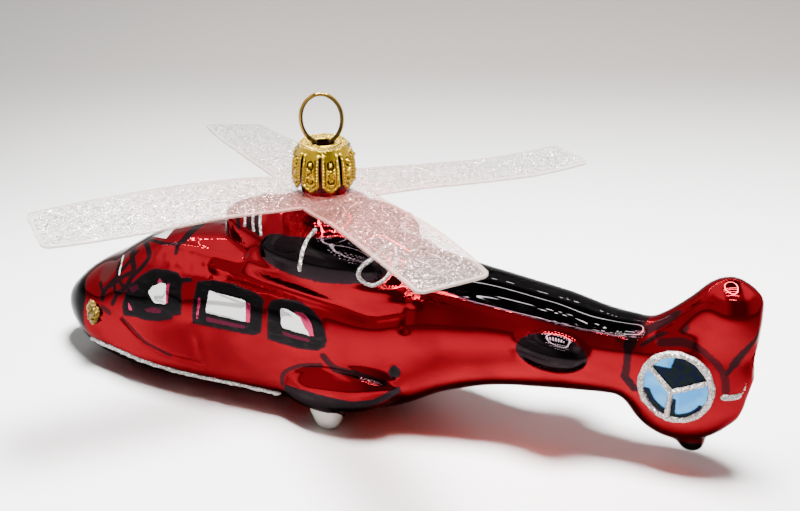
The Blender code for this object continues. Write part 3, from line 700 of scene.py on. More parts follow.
def ripple(points, wavelength, seed, terms=9):
    """Sum of sines of points along random directions with random phases, with a mean square of 1."""
    draw = np.random.default_rng(seed)
    directions = draw.normal(size=(terms, 3))
    directions /= np.linalg.norm(directions, axis=1, keepdims=True)
    lengths = wavelength * draw.uniform(0.7, 1.5, terms)
    phases = draw.uniform(0, 2 * math.pi, terms)
    waves = np.sin(points @ (directions / lengths[:, None]).T * 2 * math.pi + phases)
    return waves.sum(axis=1) * math.sqrt(2 / terms)


def path_distance(points, path):
    """Distance from each point to the nearest place on a path of straight runs."""
    path = np.array(path, float)
    nearest = np.full(len(points), np.inf)
    for start, end in zip(path[:-1], path[1:]):
        run = end - start
        share = np.clip(((points - start) @ run) / (run @ run), 0, 1)
        nearest = np.minimum(nearest, np.linalg.norm(points - start - share[:, None] * run, axis=1))
    return nearest


def patch_depth(points, outline):
    """How deep each flat point lies inside a closed outline, negative outside it, by the even-odd rule."""
    outline = np.array(outline, float)
    ends = np.roll(outline, -1, axis=0)
    depth = path_distance(points, np.concatenate([outline, outline[:1]]))
    inside = np.zeros(len(points), bool)
    for (ax, ay), (bx, by) in zip(outline, ends):
        if ay == by:
            continue
        between = (ay > points[:, 1]) != (by > points[:, 1])
        crossing = ax + (points[:, 1] - ay) * (bx - ax) / (by - ay)
        inside ^= between & (points[:, 0] < crossing)
    return np.where(inside, depth, -depth)


def run_lengths(path):
    """Way along a path up to each of its points."""
    return np.concatenate([[0], np.cumsum(np.linalg.norm(np.diff(path, axis=0), axis=1))])


def smooth_path(corners, spacing):
    """Curve through corners at even spacing: the cubic whose slopes come from each corner's neighbours."""
    corners = np.array(corners, float)
    knots = run_lengths(corners)
    slopes = np.gradient(corners, knots, axis=0)
    at = np.linspace(0, knots[-1], max(int(knots[-1] / spacing), 4) + 1)
    index = np.clip(np.searchsorted(knots, at) - 1, 0, len(knots) - 2)
    width = (knots[index + 1] - knots[index])[:, None]
    share = (at - knots[index])[:, None] / width
    return cubic_between(corners, slopes, index, share, width)


def grid_faces(rows, columns, closed_columns=False, closed_rows=False):
    """Quads between neighbouring rows of a grid, whose rows and columns may close into rings."""
    row = np.arange(rows if closed_rows else rows - 1)[:, None]
    column = np.arange(columns if closed_columns else columns - 1)[None, :]
    below, after = (row + 1) % rows, (column + 1) % columns
    starts, ends = row * columns, below * columns
    corners = (starts + column, starts + after, ends + after, ends + column)
    shape = np.broadcast_shapes(row.shape, column.shape)
    return np.stack([np.broadcast_to(corner, shape) for corner in corners], -1).reshape(-1, 4)


def fan_faces(ring_start, count, pole, outward):
    """Triangles from a ring of points to its pole."""
    index = np.arange(count)
    after = (index + 1) % count
    first, second = (after, index) if outward else (index, after)
    return np.stack([np.full(count, pole), ring_start + first, ring_start + second], -1)


def tube_faces(rows, columns):
    """Quads of a tube of closed rings and triangles to its two poles, which follow its rings."""
    count = rows * columns
    quads = grid_faces(rows, columns, closed_columns=True)
    first = fan_faces(0, columns, count, outward=True)
    last = fan_faces(count - columns, columns, count + 1, outward=False)
    return [quads, first, last]


def mesh_from_arrays(name, points, face_groups):
    """Mesh from points in millimetres from the neck's axis and arrays of faces with 3 or 4 corners."""
    mesh = bpy.data.meshes.new(name)
    points = np.asarray(points, float) * MM + NECK_PLACE
    corners = np.concatenate([group.ravel() for group in face_groups])
    counts = np.concatenate([np.full(len(group), group.shape[1]) for group in face_groups])
    mesh.vertices.add(len(points))
    mesh.vertices.foreach_set("co", points.ravel())
    mesh.loops.add(len(corners))
    mesh.loops.foreach_set("vertex_index", corners.astype(np.int32))
    mesh.polygons.add(len(counts))
    mesh.polygons.foreach_set("loop_start", (np.cumsum(counts) - counts).astype(np.int32))
    mesh.update(calc_edges=True)
    mesh.validate()
    mesh.shade_smooth()
    return mesh


def add_object(name, data, material=None):
    """Object for a mesh, light or camera in the scene."""
    added = bpy.data.objects.new(name, data)
    bpy.context.scene.collection.objects.link(added)
    if material:
        data.materials.append(material)
    return added


def place_on_axes(moved, side, up, back, place):
    """Turn an object to three axes of length 1 and move it to a place in metres."""
    matrix = np.eye(4)
    matrix[:3] = np.stack([side, up, back, place], -1)
    moved.matrix_world = Matrix(matrix.tolist())


def add_piece(mesh, material, body, replaced=()):
    """Object for a mesh, riding on a body, in place of the solids that it replaces."""
    piece = add_object(mesh.name, mesh, material)
    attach(piece, body)
    if replaced:
        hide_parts(*replaced)
    return piece


def thickened(piece, weld_metres, name, thickness, offset):
    """Join a piece's doubled points and give its sheet a thickness in millimetres, out or in."""
    piece.modifiers.new("Weld", "WELD").merge_threshold = weld_metres
    thicken = piece.modifiers.new(name, "SOLIDIFY")
    thicken.thickness = thickness * MM
    thicken.offset = offset


def add_values(mesh, name, values):
    """One number for each point of a mesh, which its material reads by name."""
    mesh.attributes.new(name, "FLOAT", "POINT").data.foreach_set("value", np.asarray(values, np.float32))


def joined(parts):
    """Points and face groups of several closed shells as one."""
    points, groups, start = [], [], 0
    for part_points, part_groups in parts:
        points.append(part_points)
        groups += [group + start for group in part_groups]
        start += len(part_points)
    return np.concatenate(points), groups


def mirrored(part):
    """The same shell on the other side of the middle, with its faces turned round."""
    points, groups = part
    return points * (1, -1, 1), [group[:, ::-1] for group in groups]


def add_pair(stem, part, material, solid=None):
    """The same piece on both sides of the glass, each in place of its own side's solid."""
    for side, shell in (("starboard", part), ("port", mirrored(part))):
        mesh = mesh_from_arrays(f"{stem}_{side}", *shell)
        add_piece(mesh, material, "glass", [f"{solid}_{side}"] if solid else ())


def glitter_line(path, normals, half_width, rise, seed, sides=12, closed=False):
    """Lumpy bead along a path: half an upright ellipse over the glass and a shallow one under it.

    A point is path + across * half width * cos(turn) + normal * height * sin(turn), and both
    sizes swell and thin with sums of sines, and run to nothing at open ends.
    """
    lump = settings("ornament_glitter").lump
    tangents = np.gradient(path, axis=0)
    if closed:
        tangents = np.roll(path, -1, axis=0) - np.roll(path, 1, axis=0)
    across = np.cross(normals, tangents)
    across /= np.linalg.norm(across, axis=1, keepdims=True)
    width = half_width * (1 + lump * ripple(path, 2.6, seed) * 0.5)
    height = rise * (1 + lump * ripple(path, 1.9, seed + 1) * 0.7)
    if not closed:
        along = run_lengths(path)
        end = np.minimum(along, along[-1] - along)
        taper = np.sqrt(np.clip(1 - (1 - np.minimum(end / half_width, 1)) ** 2, 0.02, 1))
        width, height = width * taper, height * taper
    turn = np.arange(sides) * 2 * math.pi / sides
    lift = np.where(np.sin(turn) > 0, np.sin(turn), 0.45 * np.sin(turn))
    ring = across[:, None] * (width[:, None] * np.cos(turn))[..., None]
    ring = ring + normals[:, None] * (height[:, None] * lift)[..., None]
    points = path[:, None] + ring
    flat = points.reshape(-1, 3)
    grit = ripple(flat, 0.9, seed + 2)[:, None] * np.repeat(normals, sides, axis=0)
    flat = flat + grit * 0.05 * np.maximum(np.tile(lift, len(path)), 0)[:, None]
    if closed:
        return flat, [grid_faces(len(path), sides, closed_columns=True, closed_rows=True)[:, ::-1]]
    flat = np.concatenate([flat, path[:1], path[-1:]])
    return flat, [group[:, ::-1] for group in tube_faces(len(path), sides)]


def line_on_glass(corners, half_width, rise, seed):
    """Bead of glitter along a smooth curve through corners that lies on the glass."""
    path, normals = settle_on_glass(smooth_path(corners, 0.22), -LINE_SINK)
    return glitter_line(path, normals, half_width, rise, seed)


def shader_nodes(name):
    """New material with its tree and its surface shader."""
    material = bpy.data.materials.new(name)
    material.use_nodes = True
    tree = material.node_tree
    return material, tree, tree.nodes["Principled BSDF"]


def plug(tree, value, socket):
    """Link a socket's value to a socket, or set a number, a vector or a colour on it."""
    if isinstance(value, bpy.types.NodeSocket):
        tree.links.new(value, socket)
    else:
        socket.default_value = (*value, 1) if socket.type == "RGBA" else value


def set_inputs(tree, shader, values):
    """Plug each value into the shader's socket of that name."""
    for name, value in values.items():
        plug(tree, value, shader.inputs[name])


def vector_maths(tree, operation, first, second=None):
    """One sum on vectors, of which SCALE takes a number and DOT_PRODUCT gives one."""
    node = tree.nodes.new("ShaderNodeVectorMath")
    node.operation = operation
    plug(tree, first, node.inputs[0])
    if second is not None:
        plug(tree, second, node.inputs["Scale" if operation == "SCALE" else 1])
    return node.outputs["Value" if operation == "DOT_PRODUCT" else "Vector"]


def object_millimetres(tree):
    """Vector of object coordinates in millimetres."""
    coordinates = tree.nodes.new("ShaderNodeTexCoord")
    return vector_maths(tree, "SCALE", coordinates.outputs["Object"], 1 / MM)


def noise(tree, vector, size, detail=2.0, stretch=None):
    """Noise between 0 and 1 whose lumps are about size millimetres."""
    if stretch:
        mapping = tree.nodes.new("ShaderNodeMapping")
        mapping.inputs["Scale"].default_value = stretch
        tree.links.new(vector, mapping.inputs["Vector"])
        vector = mapping.outputs[0]
    node = tree.nodes.new("ShaderNodeTexNoise")
    node.inputs["Scale"].default_value = 1 / size
    node.inputs["Detail"].default_value = detail
    tree.links.new(vector, node.inputs["Vector"])
    return node.outputs["Fac"]


def maths(tree, operation, first, second=0.0, third=0.0):
    """One sum on numbers or sockets."""
    node = tree.nodes.new("ShaderNodeMath")
    node.operation = operation
    for socket, value in zip(node.inputs, (first, second, third)):
        plug(tree, value, socket)
    return node.outputs[0]


def times(tree, first, second):
    """Product of two numbers or sockets."""
    return maths(tree, "MULTIPLY", first, second)


def band(tree, value, low, high, to_low=0.0, to_high=1.0):
    """Smooth step of a value from low to high."""
    node = tree.nodes.new("ShaderNodeMapRange")
    node.interpolation_type = "SMOOTHSTEP"
    for name, number in (("From Min", low), ("From Max", high), ("To Min", to_low), ("To Max", to_high)):
        node.inputs[name].default_value = number
    tree.links.new(value, node.inputs["Value"])
    return node.outputs["Result"]


def mix(tree, kind, share, first, second, blend_type="MIX"):
    """First value where share is 0 and the second where it is 1, or their product for MULTIPLY."""
    node = tree.nodes.new("ShaderNodeMix")
    node.data_type = kind
    node.blend_type = blend_type
    start = MIX_KINDS[kind]
    for number, value in ((0, share), (start, first), (start + 1, second)):
        plug(tree, value, node.inputs[number])
    return node.outputs[start // 2 - 1]


def blend_colours(tree, share, first, second, blend_type="MIX"):
    """Mix of two colours."""
    return mix(tree, "RGBA", share, first, second, blend_type)


def attribute(tree, name):
    """Socket with the values that a mesh holds under a name."""
    node = tree.nodes.new("ShaderNodeAttribute")
    node.attribute_name = name
    return node.outputs["Fac"]


def bump(tree, height, strength, distance):
    """Normal tilted by a height, of which 1 is a distance in millimetres."""
    node = tree.nodes.new("ShaderNodeBump")
    set_inputs(tree, node, {"Strength": strength, "Distance": distance * MM, "Height": height})
    return node.outputs[0]


def painted_glass():
    """Red mirror with black gloss paint, dark brush strokes, painted shade, bare windows and the tail fan's
    blue.
    """
    look = settings("ornament_glass")
    material, tree, shader = shader_nodes("red_mirror_glass")
    place = object_millimetres(tree)
    ragged = maths(tree, "MULTIPLY_ADD", noise(tree, place, 0.8, 3.0), 0.36, -0.18)
    fine = maths(tree, "MULTIPLY_ADD", noise(tree, place, 0.35, 2.0), 0.16, -0.08)
    edge = maths(tree, "ADD", ragged, fine)

    def painted(name, soft=0.05, low=None):
        value = maths(tree, "ADD", attribute(tree, name), edge)
        return band(tree, value, -soft if low is None else low, soft)

    runs = band(tree, noise(tree, place, 8.0, 2.0, stretch=(0.6, 1.0, 0.9)), 0.42, 0.72)
    red = blend_colours(tree, times(tree, runs, 0.45), look.lacquer, look.lacquer_deep)
    brushed_red = band(tree, noise(tree, place, 3.2, 3.0, stretch=(0.5, 0.8, 0.7)), 0.4, 0.75)
    red = blend_colours(tree, times(tree, brushed_red, 0.22), red, look.lacquer_deep)
    # Painted shade: the red darkens towards the bottom of the body
    low_shade_share = band(tree, attribute(tree, "painted_low_shade"), 0.0, 1.0)
    red = blend_colours(tree, times(tree, low_shade_share, 0.7), red, look.lacquer_deep)
    # Dark brush strokes together with painted shade round the fan ring and on the neck inside the cap
    stroke = painted("stroke_and_painted_shade", 0.16)
    streaks = band(tree, noise(tree, place, 0.6, 3.0, stretch=(0.35, 1.0, 1.0)), 0.2, 0.75, 0.92, 1.0)
    stroke = times(tree, stroke, streaks)
    stroke = times(tree, stroke, attribute(tree, "stroke_and_shade_strength"))
    haze = times(tree, painted("haze", 0.5), 0.55)
    colour = blend_colours(tree, haze, red, HAZE_COLOUR)
    colour = blend_colours(tree, stroke, colour, STROKE_AND_SHADE_COLOUR)
    black = painted("black_paint", 0.06)
    thin = maths(tree, "SUBTRACT", 1.0, painted("black_paint", 0.7, low=-0.1))
    paint = blend_colours(tree, times(tree, thin, 0.6), look.black_paint, THIN_PAINT_COLOUR)
    swept = band(tree, noise(tree, place, 1.3, 3.0, stretch=(0.5, 1.0, 1.6)), 0.5, 0.72)
    paint = blend_colours(tree, times(tree, swept, 0.55), paint, SWEPT_PAINT_COLOUR)
    paint = blend_colours(tree, times(tree, painted("wine_tint", 0.12), 0.8), paint, look.wine)
    colour = blend_colours(tree, black, colour, paint)
    pink = painted("pink_tint", 0.08)
    colour = blend_colours(tree, pink, colour, look.pink)
    bare = painted("bare_mirror", 0.06)
    colour = blend_colours(tree, bare, colour, look.mirror)
    wheel = painted("wheel_silver", 0.2)
    colour = blend_colours(tree, wheel, colour, WHEEL_COLOUR)
    fan = band(tree, attribute(tree, "fan_depth"), -0.05, 0.05)
    cloud = noise(tree, place, 3.4, 2.0)
    blue = blend_colours(tree, band(tree, cloud, 0.35, 0.65), look.fan_blue, FAN_CLOUD_COLOUR)
    dark_fan = band(tree, maths(tree, "ADD", attribute(tree, "fan_dark"), edge), -0.15, 0.15)
    murk = band(tree, noise(tree, place, 1.1, 3.0), 0.4, 0.62)
    dark_mix = blend_colours(tree, murk, look.fan_navy, FAN_MURK_COLOUR)
    blue = blend_colours(tree, dark_fan, blue, dark_mix)
    colour = blend_colours(tree, fan, colour, blue)
    uncovered = maths(tree, "MAXIMUM", maths(tree, "MAXIMUM", pink, bare), fan)
    paint_and_shade_marks = maths(tree, "MAXIMUM", black, times(tree, stroke, 0.8))
    covered = times(tree, paint_and_shade_marks, maths(tree, "SUBTRACT", 1.0, uncovered))
    satin = band(tree, noise(tree, place, 5.0, 2.0), 0.3, 0.8, 0.022, 0.05)
    waves = times(tree, noise(tree, place, 4.0, 1.0), 0.4)
    waves = times(tree, waves, maths(tree, "SUBTRACT", 1.0, bare))
    bumped = bump(tree, maths(tree, "MULTIPLY_ADD", covered, 0.45, waves), 0.25, 0.08)
    surface = {
        "Base Color": colour,
        "Metallic": maths(tree, "MULTIPLY_ADD", wheel, -0.6, 1.0),
        "Roughness": maths(tree, "MULTIPLY_ADD", wheel, 0.35, satin),
        "IOR": 1.16,
        "Specular Tint": (0.5, 0.5, 0.5),
        "Coat Weight": 0.03,
        "Coat IOR": 1.3,
        "Coat Roughness": 0.03,
        "Normal": bumped,
        "Coat Normal": bumped,
    }
    set_inputs(tree, shader, surface)
    return material


def flake_normals(tree, place, grain, spread):
    """Normal of each flake, pushed aside by the flake's random colour, and that colour's parts."""
    cells = tree.nodes.new("ShaderNodeTexVoronoi")
    set_inputs(tree, cells, {"Scale": 1 / grain, "Vector": place})
    centred = vector_maths(tree, "SUBTRACT", cells.outputs["Color"], (0.5, 0.5, 0.5))
    pushed = vector_maths(tree, "SCALE", centred, spread)
    geometry = tree.nodes.new("ShaderNodeNewGeometry")
    added = vector_maths(tree, "ADD", geometry.outputs["Normal"], pushed)
    split = tree.nodes.new("ShaderNodeSeparateColor")
    plug(tree, cells.outputs["Color"], split.inputs[0])
    return vector_maths(tree, "NORMALIZE", added), split.outputs


def glitter_glue(name, base, bright, grain, spread, metal, coat):
    """Clear glue full of flakes, each with its own tilt and shade."""
    material, tree, shader = shader_nodes(name)
    normal, chances = flake_normals(tree, object_millimetres(tree), grain, spread)
    shade = band(tree, chances[0], 0.1, 0.95)
    colour = blend_colours(tree, shade, tuple(0.55 * part for part in base), base)
    surface = {
        "Base Color": blend_colours(tree, band(tree, chances[1], 0.72, 0.9), colour, bright),
        "Metallic": band(tree, chances[2], 0.35 - 0.3 * metal, 0.6 - 0.3 * metal, 0.0, metal),
        "Roughness": 0.28,
        "Coat Weight": coat,
        "Coat Roughness": 0.2,
        "Normal": normal,
    }
    set_inputs(tree, shader, surface)
    return material


def glitter_sheet():
    """White see-through sheet with silver flakes, plain along its rim, with a painted red glow near the
    glass.
    """
    look = settings("ornament_rotor")
    material, tree, shader = shader_nodes("white_glitter_sheet")
    place = object_millimetres(tree)
    normal, chances = flake_normals(tree, place, look.grain, 1.5)
    ragged = maths(tree, "MULTIPLY_ADD", noise(tree, place, 0.5), 0.5, -0.25)
    from_rim = maths(tree, "ADD", attribute(tree, "rim_distance"), ragged)
    field = band(tree, from_rim, look.rim - 0.15, look.rim + 0.15)
    clumps = maths(tree, "MULTIPLY_ADD", noise(tree, place, 1.6, 2.0), 0.5, -0.25)
    flaked = band(tree, maths(tree, "ADD", chances[0], clumps), 0.42, 0.48)
    flaked = times(tree, flaked, field)
    shade = band(tree, chances[1], 0.0, 1.0)
    flake = blend_colours(tree, shade, tuple(0.07 * part for part in look.flake), look.flake)
    flake = blend_colours(tree, band(tree, chances[2], 0.84, 0.88), flake, SHEET_SPARK)
    colour = blend_colours(tree, flaked, look.sheet, flake)
    plain_rim = times(tree, maths(tree, "SUBTRACT", 1.0, field), 0.5)
    geometry = tree.nodes.new("ShaderNodeNewGeometry")
    surface = {
        # Painted red glow: the sheet is tinted pink near the glass, standing in for the red light that the
        # glass throws on it
        "Base Color": blend_colours(tree, attribute(tree, "painted_glass_glow"), colour, SHEET_PAINTED_GLOW, "MULTIPLY"),
        "Metallic": times(tree, flaked, band(tree, chances[2], 0.3, 0.7, 0.2, 0.8)),
        "Roughness": band(tree, flaked, 0.0, 1.0, 0.38, 0.26),
        "Alpha": maths(tree, "MAXIMUM", band(tree, flaked, 0.0, 1.0, 0.12, 0.6), plain_rim),
        "Coat Weight": 0.2,
        "Coat Roughness": 0.15,
        "Normal": mix(tree, "VECTOR", flaked, geometry.outputs["Normal"], normal),
    }
    set_inputs(tree, shader, surface)
    return material


def stamped_gold(name, colour, rough, worn):
    """Bright thin metal with tarnish in spots, darker in its hollows and along a painted dark reflection
    streak on the wire, and an uneven polish.
    """
    material, tree, shader = shader_nodes(name)
    place = object_millimetres(tree)
    spots = band(tree, noise(tree, place, 2.2, 2.0), 0.45, 0.8)
    tarnish = tuple(part * 0.42 for part in colour)
    base = blend_colours(tree, times(tree, spots, worn), colour, tarnish)
    # Darker in the cap's stamped hollows, and along the wire's painted dark reflection streak
    dark_hollows_and_painted_streak = times(tree, band(tree, attribute(tree, "dark_hollows_and_painted_streak"), 0.0, 0.2), 0.9)
    surface = {
        "Base Color": blend_colours(tree, dark_hollows_and_painted_streak, base, tuple(part * 0.12 for part in colour)),
        "Metallic": 1.0,
        "Roughness": band(tree, noise(tree, place, 0.5, 2.0), 0.3, 0.8, rough, rough + 0.08),
    }
    set_inputs(tree, shader, surface)
    return material


def band_share(value, low, high):
    """Smooth step of each value from 0 at low to 1 at high."""
    share = np.clip((value - low) / (high - low), 0, 1)
    return share * share * (3 - 2 * share)


def glass_relief(points):
    """Sum of the moulded lines as bells, the sunk panes and fan, the raised paint and the ripples."""
    folded = folded_over(points)
    side_view = folded[:, [0, 2]]
    rise = np.zeros(len(points))
    for _, height, width, path in RELIEF_LINES:
        rise += height * bell(path_distance(folded, smooth_path(path, 2.0)), width)
    flank = folded[:, 1] > BLACK_PATCH_STARTS
    ripple_depth = np.full(len(points), settings("ornament_glass").ripple)
    for outline in SILVER_PANES:
        depth = patch_depth(side_view, outline)
        rise -= PANE_SINK * flank * soft_step(depth, 0.1)
        ripple_depth *= 1 - CALM_PANE_SHARE * flank * soft_step(depth + 0.3, 0.25)
    for outline in BLACK_PATCHES:
        rise += PAINT_RISE * flank * soft_step(patch_depth(side_view, outline), 0.2)
    fan_reach = np.hypot(points[:, 0] - FAN_X, points[:, 2] - FAN_Z)
    rise -= FAN_SINK * soft_step(FAN_SINK_RADIUS - fan_reach, 0.2)
    ripple_depth *= 1 - CALM_BOOM_SHARE * band_share(points[:, 0], *CALM_BOOM_SPAN)
    waves = ripple(points, 13.0, 11) + 0.3 * ripple(points, 6.0, 12)
    crinkle = 1.2 * ripple(points, 3.6, 13) + 0.6 * ripple(points, 2.0, 14)
    crinkle *= bell(folded[:, 2] - CRINKLE_HEIGHT, CRINKLE_HALF_HEIGHT)
    for span in (CRINKLE_START_SPAN, CRINKLE_END_SPAN):
        crinkle *= band_share(folded[:, 0], *span)
    return rise + ripple_depth * (waves + crinkle)


def fan_darkness(x, z):
    """Depth inside the dark parts of the tail fan: its low edge, its top and a strip beside a spoke."""
    reach = np.hypot(x, z)
    rim_width = np.where(x < FAN_HUB[0], 1.7, 1.2)
    low_edge = np.minimum(reach - FAN_RING_RADIUS + rim_width, np.where(x < FAN_HUB[0], -1.0, -2.6) - z)
    angle = np.degrees(np.arctan2(z - FAN_HUB[1], x - FAN_HUB[0]))
    in_top = np.minimum(angle - FAN_SPOKE_ANGLES[0], FAN_SPOKE_ANGLES[1] - angle) * 0.1
    top = np.minimum(in_top, np.maximum(x + 1.9 - 0.2 * z, 3.7 - z))
    beside_spoke = np.minimum(0.5 - np.abs(x - FAN_HUB[0] - 0.55), -2.0 - z)
    return np.maximum(np.maximum(low_edge, top), beside_spoke)


def paint_values(points):
    """Depth of each point inside each kind of paint and of painted shade, in millimetres, negative outside
    it.
    """
    folded = folded_over(points)
    x, y, z = folded.T
    side_view = folded[:, [0, 2]]
    outside = np.full(len(points), FAR_OUTSIDE)

    def on_flank(*outlines):
        depth = np.maximum.reduce([outside, *(patch_depth(side_view, outline) for outline in outlines)])
        return np.minimum(depth, np.maximum(y - BLACK_PATCH_STARTS, FAR_OUTSIDE))

    black = [on_flank(*BLACK_PATCHES, RIVET_PATCH)]
    for outline, name in ((COWL_PATCH, "engine_cowl"), (POD_PATCH, "boom_pod"), (SPONSON_PATCH, "sponson")):
        on_swelling = SWELLING_PAINT_EDGE - swelling_distance(x, y, z, *GLASS_SWELLINGS[name][:4])
        black.append(np.minimum(patch_depth(side_view, outline), on_swelling))
    line_x, line_z = np.array(BOOM_TOP_LINE).T
    between_ends = np.minimum(x - BOOM_TOP_ENDS[0], BOOM_TOP_ENDS[1] - x)
    black.append(np.minimum(z - np.interp(x, line_x, line_z), between_ends))
    edge_z, edge_x = np.array(NOSE_EDGE).T
    black.append(np.where(z > NOSE_EDGE_TOP, NOSE_EDGE_TIP, np.interp(z, edge_z, edge_x)) - x)
    black.append(NUB_PAINT_RADIUS - np.linalg.norm(folded - NUB_PAINT_CENTRE, axis=1))
    dark, strength = outside, np.zeros(len(points))
    # Brush strokes and painted shade share one mask
    strokes = [
        (power, half_width - path_distance(folded, smooth_path(path, 1.0)))
        for half_width, power, path in DARK_STROKES_AND_SHADE
    ]
    # Painted shade on the neck inside the cap
    neck = np.minimum(z - NECK_SHADE_FROM, NECK_SHADE_RADIUS - np.hypot(x, y))
    for power, depth in (*strokes, (NECK_SHADE_STRENGTH, neck)):
        strength = np.where(depth > dark, power, strength)
        dark = np.maximum(dark, depth)
    roof_pane = np.minimum(patch_depth(folded[:, [0, 1]], ROOF_PANE), z - ROOF_PANE_FROM)
    streak = STREAK_HALF_WIDTH - path_distance(folded, smooth_path(STREAK_PATH, 1.0))
    wheel_reach = np.hypot(x - WHEEL_PAINT_CENTRE[0], y - WHEEL_PAINT_CENTRE[1])
    fan_x, fan_z = points[:, 0] - FAN_X, (points[:, 2] - FAN_Z) / FAN_RING_TALL
    return {
        "black_paint": np.maximum.reduce(black),
        "stroke_and_painted_shade": dark,
        "stroke_and_shade_strength": strength,
        "bare_mirror": np.maximum.reduce([on_flank(*SILVER_PANES), roof_pane, streak]),
        "pink_tint": on_flank(*PINK_PANES),
        "wine_tint": on_flank(*WINE_PANES),
        "haze": HAZE_HALF_WIDTH - path_distance(folded, HAZE_PATH),
        "wheel_silver": np.minimum(WHEEL_PAINT_TOP - z, WHEEL_PAINT_RADIUS - wheel_reach),
        "fan_depth": FAN_RING_RADIUS - np.hypot(fan_x, fan_z),
        "fan_dark": fan_darkness(fan_x, fan_z),
        # Painted shade low on the body
        "painted_low_shade": np.clip((LOW_SHADE_TOP - z) / LOW_SHADE_TOP, 0, 1) * (x < LOW_SHADE_END),
    }


def glass_shell():
    """Loft of the glass along X: on each ray out from a section's widest height, the outermost reach."""
    look = settings("ornament_glass")
    first, last = GLASS_STATIONS[0][0], GLASS_STATIONS[-1][0]
    share = np.arange(1, look.rows) / look.rows
    even = first + (last - first) * share
    rounded = first + (last - first) * (1 - np.cos(math.pi * share)) / 2
    x = (0.55 * even + 0.45 * rounded)[:, None]
    waist = station_values(x[:, 0])[3][:, None]
    angle = (np.arange(look.columns) * 2 * math.pi / look.columns)[None, :]
    across, up = np.cos(angle), np.sin(angle)
    reach = outermost(lambda r: glass_distance(x, r * across, waist + r * up), GLASS_REACH)
    x = np.broadcast_to(x, reach.shape)
    rings = np.stack([x, reach * across, waist + reach * up], -1).reshape(-1, 3)
    poles = np.array([(first, 0, GLASS_STATIONS[0][4]), (last, 0, GLASS_STATIONS[-1][4])])
    raised = rings + glass_normals(rings) * (glass_relief(rings) - GLASS_SKIN)[:, None]
    raised[:, 2] = np.maximum(raised[:, 2], 0)
    raised[:, 0] = np.clip(raised[:, 0], first, last)
    faces = tube_faces(look.rows - 1, look.columns)
    return np.concatenate([raised, poles]), faces, np.concatenate([rings, poles])


def turned(outline, steps):
    """Closed shell turned about the neck from its half outline, whose ends close on poles."""
    outline = np.array(outline, float)
    angle = np.arange(steps) * 2 * math.pi / steps
    radius, height = outline[:, :1], outline[:, 1:] + 0 * angle
    rings = np.stack([radius * np.cos(angle), radius * np.sin(angle), height], -1)
    poles = [(0, 0, outline[0, 1]), (0, 0, outline[-1, 1])]
    return np.concatenate([rings.reshape(-1, 3), poles]), tube_faces(len(outline), steps)


class ORNAMENT_OT_glass(bpy.types.Operator):
    """Build the blown glass body with its neck and its paint"""

    bl_idname = "ornament.glass"
    bl_label = "Glass body"

    def execute(self, context):
        body_points, body_groups, plain = glass_shell()
        neck_path = smooth_path([(r, 0, z) for r, z in NECK_OUTLINE], 0.3)[:, [0, 2]]
        neck_points, neck_groups = turned(neck_path, 64)
        points, groups = joined([(body_points, body_groups), (neck_points, neck_groups)])
        mesh = mesh_from_arrays("glass_shell", points, groups)
        for name, values in paint_values(np.concatenate([plain, neck_points])).items():
            add_values(mesh, name, values)
        add_piece(mesh, painted_glass(), "glass", ["glass_body"])
        return {"FINISHED"}


class ORNAMENT_OT_glitter_lines(bpy.types.Operator):
    """Lay the lines of white glitter glue on both sides of the glass"""

    bl_idname = "ornament.glitter_lines"
    bl_label = "Glitter lines"

    def execute(self, context):
        look = settings("ornament_glitter")
        flakes = (look.white, WHITE_SPARK, look.grain)
        material = glitter_glue("white_glitter_glue", *flakes, spread=0.9, metal=0.55, coat=0.25)
        for number, (name, (half_width, rise, corners)) in enumerate(GLITTER_LINES.items()):
            starboard = line_on_glass(corners, half_width, rise, 40 + 3 * number)
            add_pair(name, starboard, material)
        turn = np.linspace(0, 2 * math.pi, 64, endpoint=False)
        ring_x = COWL_RING_CENTRE[0] + COWL_RING_RADIUS * np.cos(turn)
        ring_z = COWL_RING_CENTRE[1] + COWL_RING_RADIUS * np.sin(turn)
        ring_y = side_of_glass(ring_x, ring_z)
        path, normals = settle_on_glass(np.stack([ring_x, ring_y, ring_z], -1), -LINE_SINK)
        ring = glitter_line(path, normals, *COWL_RING_LINE, 71, closed=True)
        add_pair("cowl_ring", ring, material)
        strokes = [
            line_on_glass(corners, *GRILLE_LINE, 80 + number)
            for number, corners in enumerate(GRILLE_STROKES)
        ]
        strokes += [mirrored(stroke) for stroke in strokes]
        mesh = mesh_from_arrays("grille_strokes", *joined(strokes))
        add_piece(mesh, material, "glass")
        return {"FINISHED"}


class ORNAMENT_OT_fan_rims(bpy.types.Operator):
    """Lay the glitter rim and spokes of the tail fan on each side"""

    bl_idname = "ornament.fan_rims"
    bl_label = "Fan rims"

    def execute(self, context):
        material = bpy.data.materials["white_glitter_glue"]
        turn = np.linspace(0, 2 * math.pi, 170, endpoint=False)
        circle = FAN_RING_RADIUS * np.stack([np.cos(turn), np.sin(turn) * FAN_RING_TALL], -1)
        runs = [(circle, 0.64, True)]
        for degrees in FAN_SPOKE_ANGLES:
            heading = np.array([math.cos(math.radians(degrees)), math.sin(math.radians(degrees))])
            along = np.linspace(-0.2, FAN_RING_RADIUS * 1.25, 40)[:, None]
            spoke = np.array(FAN_HUB) + along * heading
            inside = np.hypot(spoke[:, 0], spoke[:, 1] / FAN_RING_TALL) < FAN_RING_RADIUS
            runs.append((spoke[inside], 0.52, False))
        parts = []
        for number, (flat, half_width, closed) in enumerate(runs):
            x, z = FAN_X + flat[:, 0], FAN_Z + flat[:, 1]
            y = side_of_glass(x, z)
            path, normals = settle_on_glass(np.stack([x, y, z], -1), -0.1)
            seed = 90 + 5 * number
            parts.append(glitter_line(path, normals, half_width, 0.55, seed, sides=14, closed=closed))
        add_pair("fan_glitter", joined(parts), material, "fan_rim")
        return {"FINISHED"}


